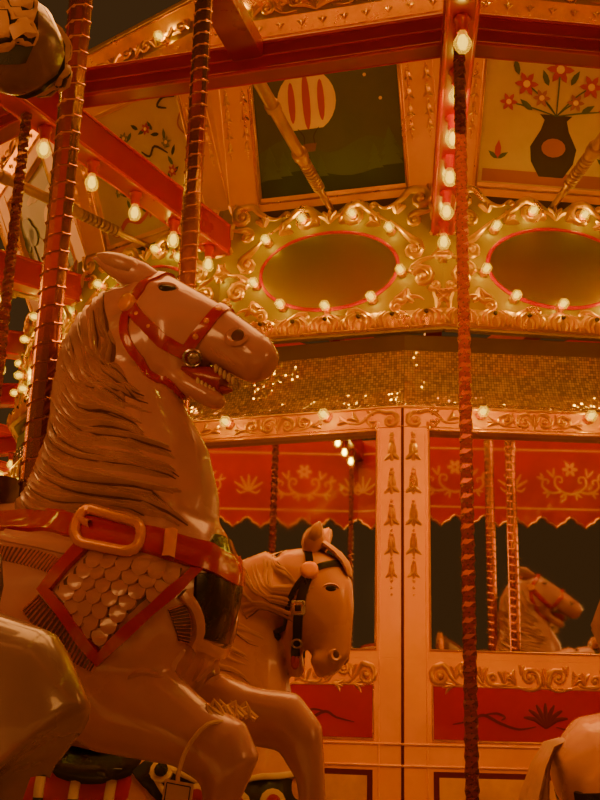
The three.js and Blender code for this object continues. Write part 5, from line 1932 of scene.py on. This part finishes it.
def dressOuter(horse):
    spec = outerTack
    dx, dz = horseStyles["outer"]["headShift"]

    def headed(points):
        return [(x + dx, y, z + dz) for x, y, z in points]

    crown, nose, cheek, throat = (headed(bridle[strap]) for strap in ("crown", "nose", "cheek", "throat"))
    del crown[3], throat[4]
    addHeadStraps(horse, (crown, 0.014), (nose, 0.014), (throat, 0.011))
    for side in (1, -1):
        addOnBody(horse, mirrorTo(side, cheek), 0.0165, 0.007)
        addRosette(horse, onSide(side, *cheek[0]), 0.027)
        addSheet(horse, [mirrorTo(side, headed(row)) for row in spec["muzzle"]], 8, 6, 0.004, "dark")
        for x, z, reach, half, lean in spec["feathers"]:
            addFeather(horse, Vector((x + dx, side * -0.06, z + dz)), reach, half, lean)
        addPatch(horse, side, innerTack["cloth"], 9, 8, 0.01, "cloth")
        addPatch(horse, side, spec["flap"], 7, 8, 0.022, "leather")
        addFringe(horse, side, (-0.4, 0.78), (0.0, 0.76), 24, 0.05)
        addOnBody(horse, mirrorTo(side, spec["breast"]), 0.034, 0.011)
        for i in range(8):
            x, z = mixed(0.05, 0.42, i / 7), mixed(1.02, 0.92, i / 7)
            drop = [(x + out, side * -0.19, z - down) for out, down in spec["drop"]]
            addLock(horse, drop, [0.01, 0.024, 0.024, 0.02, 0.004], 0.013, "gold", 2)
        addHaunchStrap(horse, side, spec["haunch"], 0.024, (-0.47, -0.56, -0.64), (-0.19, 0.985), 0.014)
    addSaddle(horse)


# Hair and head of each row: mane, forelock, ears, eyes and nostrils
heads = {
    "middle": {
        "crest": mm([(160, 1630), (90, 1590), (50, 1530), (35, 1460), (30, 1380), (28, 1300), (15, 1220),
                     (-10, 1150)]),
        "mane": (44, (0.14, 0.46), (0.2, 0.08), 0.0135, 0.8, 5), "forelock": None,
        "ears": mm([(250, 34, 1643), (128, 52, 1690)]), "eye": (0.328, 0.068, 1.593),
        "nostril": (0.492, 0.05, 1.47, 0.019)},
    "inner": {
        "crest": mm([(360, 1670), (260, 1645), (170, 1585), (110, 1500), (70, 1410), (40, 1310), (20, 1220),
                     (-10, 1150)]),
        "mane": (42, (0.14, 0.36), (0.12, 0.24), 0.0095, 0.32, 9),
        "forelock": ([(0.44, 0.014, 1.68), (0.51, 0.0168, 1.672), (0.565, 0.014, 1.62),
                      (0.58, 0.0098, 1.58)], 0.009),
        "ears": mm([(465, 30, 1665), (500, 50, 1735)]), "eye": (0.539, 0.06, 1.535),
        "nostril": (0.553, 0.045, 1.345, 0.013)},
    "outer": {
        "crest": mm([(170, 1690), (110, 1650), (70, 1580), (50, 1490), (40, 1390), (30, 1290), (15, 1210),
                     (-10, 1150)]),
        "mane": (34, (0.12, 0.42), (0.14, 0.2), 0.0135, 0.7, 11),
        "forelock": ([(0.215, 0.012, 1.72), (0.285, 0.016, 1.75), (0.35, 0.014, 1.72)], 0.011),
        "ears": mm([(260, 35, 1712), (250, 50, 1800)]), "eye": (0.343, 0.068, 1.658),
        "nostril": (0.5, 0.05, 1.535, 0.016)},
}
dressers = {"middle": dressMiddle, "inner": dressInner, "outer": dressOuter}


def dressHorse(row, tree):
    shape = bmesh.new()
    horse = (shape, tree)
    head, style = heads[row], horseStyles[row]
    dressers[row](horse)
    addMane(horse, head["crest"], *head["mane"])
    if head["forelock"]:
        points, width = head["forelock"]
        for i in range(-2, 3):
            addStrand(shape, [(x, i * spread, z) for x, spread, z in points], width)
    addEars(shape, *head["ears"])
    addEyes(horse, *head["eye"])
    addNostrils(horse, *head["nostril"])
    if row == "middle":
        addMouth(horse)
    for i, hoof in enumerate((style["nearHoof"], style["farHoof"], hindBackHoof, hindUnderHoof)):
        addLoft(shape, hoof, legSide if i % 2 else -legSide, 12, "hoof")
    addTail(shape)
    return toMesh(shape, row + "_tack")


horseMeshes, tackMeshes = {}, {}
shares = ("heroShare", "midShare", "farShare")
for row, style in horseStyles.items():
    carved = carveHorse(style)
    fineTack = dressHorse(row, BVHTree.FromBMesh(carved))
    tackMeshes[row] = {"fine": fineTack, "plain": thinned(fineTack, horseBuild["tackShare"])}
    fine = toMesh(carved, row)
    horseMeshes[row] = {share: thinned(fine, horseBuild[share]) for share in shares}
    meshes = *horseMeshes[row].values(), *tackMeshes[row].values()
    print(row, "horse carved", [len(mesh.polygons) for mesh in meshes])

# Horses near the photograph's place carry finer meshes
heroBays = {("middle", 15): "heroShare", ("inner", 15): "heroShare", ("outer", 15): "midShare",
            ("inner", 0): "midShare", ("middle", 0): "midShare"}
heroTack = {("middle", 15), ("inner", 15), ("inner", 0), ("outer", 15)}
# The last finish of each row is the painted shade in the mane's grooves
tackFinishes = {
    "middle": [strapRed, tackGold, silverPlate, paleCream, blackPaint, navyPaint, leatherBrown, gumRed,
               maneBrown,
               hoofPaint, leatherBrown, horseEnamel, hairShade],
    "inner": [blackPaint, tackGold, silverPlate, paleCream, blackPaint, redPaint, leatherBrown, gumRed,
              maneBrown,
              hoofPaint, navyPaint, horseEnamel, hairShade],
    "outer": [navyPaint, tackGold, silverPlate, paleCream, blackPaint, redPaint, leatherBrown, gumRed,
              maneGrey,
              hoofPaint, tanPaint, greyEnamel, blackPaint],
}


def placedCopy(name, data, place, materials, body):
    copy = data.copy()
    copy.name = name
    copy.transform(place)
    return placeMesh(name, copy, materials, body, 60)


for row in horseStyles:
    enamel = greyEnamel if row == "outer" else horseEnamel
    for bay in range(bays):
        name, place, body = horseName(row, bay), horsePlace(row, bay), rowBody(row, bay)
        carving = horseMeshes[row][heroBays.get((row, bay), "farShare")]
        tack = tackMeshes[row]["fine" if (row, bay) in heroTack else "plain"]
        horse = placedCopy(name + "_body", carving, place, [enamel], body)
        placedCopy(name + "_tack", tack, place, tackFinishes[row], body)
        if row != "outer":
            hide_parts(name)
print("horses placed")

# A blank card tag tied with string to the knee of one middle horse
tag = {
    "string": mm([(535, -115, 665), (505, -150, 660), (475, -168, 620), (462, -176, 575), (463, -180, 553)]),
    "curls": 16, "thread": 0.0042, "curlThread": 0.0046, "place": (0.462, -0.182, 0.51), "turn": 0.1,
    "swing": -0.3,
}
kneeTag = bmesh.new()
addBar(kneeTag, curvePath(tag["string"], 3), tag["thread"], Matrix(), 1)
for i in range(tag["curls"]):
    lift = 0.011 * math.sin(i * 2.1)
    sway = 0.012 * math.cos(i * 1.3)
    along, across = 0.49 + 0.0022 * i, -0.125 + 0.0075 * i
    curl = [(along + sway, across, 0.676 + lift * 0.3), (along + 0.012 - sway, across + 0.004, 0.694 + lift),
            (along + 0.026 + sway * 0.5, across + 0.008, 0.674 + lift * 0.4)]
    addBar(kneeTag, curvePath(curl, 2), tag["curlThread"], Matrix(), 1)
tagPlace = moved(*tag["place"]) @ Matrix.Rotation(tag["turn"], 4, "Y") @ Matrix.Rotation(tag["swing"], 4, "Z")
addBlock(kneeTag, (-0.034, -0.001, -0.06), (0.034, 0.001, 0.048), tagPlace)
for x in (-0.028, 0.028):
    addBlock(kneeTag, (x - 0.001, -0.0016, -0.05), (x + 0.001, 0.0, 0.042), tagPlace, 2)
for z in (-0.052, 0.042):
    addBlock(kneeTag, (-0.028, -0.0016, z - 0.001), (0.028, 0.0, z + 0.001), tagPlace, 2)
kneeTag.transform(horsePlace("middle", 15))
addPiece("knee_tag", kneeTag, [tagCard, stringYellow, blackPaint], rowBody("middle", 15), 40)
print("tag tied")

# Outer deck, whose nodes in the frame also carry the outer horses
deckInner, deckOuter = ringApothem("middle_deck"), 6.9 * apothemShare - 0.0285
outerDeck = bmesh.new()
addRingSegment(outerDeck, (deckInner, deckFoot), (deckOuter, deckTop))
roundBays(outerDeck)
outerDeckPiece = addPiece("outer_deck_boards", outerDeck, [deckBoards], turningBody, 30)
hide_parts(*["outer_deck_" + str(i) for i in range(1, 5)])
print("outer deck made")


# Floor and light
def addFloor(reach):
    shape = bmesh.new()
    bmesh.ops.create_circle(shape, cap_ends=True, radius=reach, segments=64)
    floor = bpy.data.objects.new("floor", toMesh(shape, "floor"))
    bpy.context.scene.collection.objects.link(floor)
    paving = painted("floor", (0.72, 0.68, 0.62), (0.62, 0.57, 0.5), 0.6, 0.4, 0.0, 0.7, bump=0.05)
    floor.data.materials.append(paving)


amber = (1.0, 0.385, 0.085)
lights = {   # place, target, size, watts, colour
    "key": ((-4.0, -13.0, 3.2), (0, -4, 1.7), 3.6, 235, amber),
    "side": ((9.0, -10.0, 4.5), (0, -3, 2.4), 4.0, 210, amber),
    "inner": ((0.0, -4.5, 2.9), (0, -2.6, 1.5), 1.6, 40, (1.0, 0.35, 0.012)),
    "top": ((0.0, 0.0, 11.0), (0, 0, 0), 12.0, 1900, amber),
    "back": ((-6.0, 13.0, 7.0), (0, 0, 2.0), 8.0, 1200, amber),
    "left": ((-14.0, 3.0, 6.0), (0, 0, 1.8), 6.0, 450, amber),
    "right": ((14.0, 4.0, 6.0), (0, 0, 1.8), 6.0, 450, amber),
}


def addLight(name, place, target, size, watts, color):
    data = bpy.data.lights.new(name, "AREA")
    data.shape, data.size, data.energy, data.color = "DISK", size, watts, color
    lamp = bpy.data.objects.new(name, data)
    bpy.context.scene.collection.objects.link(lamp)
    lamp.location = place
    lamp.visible_glossy = name != "inner"
    lamp.rotation_euler = (Vector(target) - Vector(place)).to_track_quat("-Z", "Y").to_euler()


addFloor(60.0)
for name, light in lights.items():
    addLight(name, *light)
world = bpy.data.worlds.new("studio")
bpy.context.scene.world = world
world.use_nodes = True
background = world.node_tree.nodes["Background"]
background.inputs["Color"].default_value = (1.0, 0.45, 0.14, 1)
background.inputs["Strength"].default_value = 0.05
print("stage set")
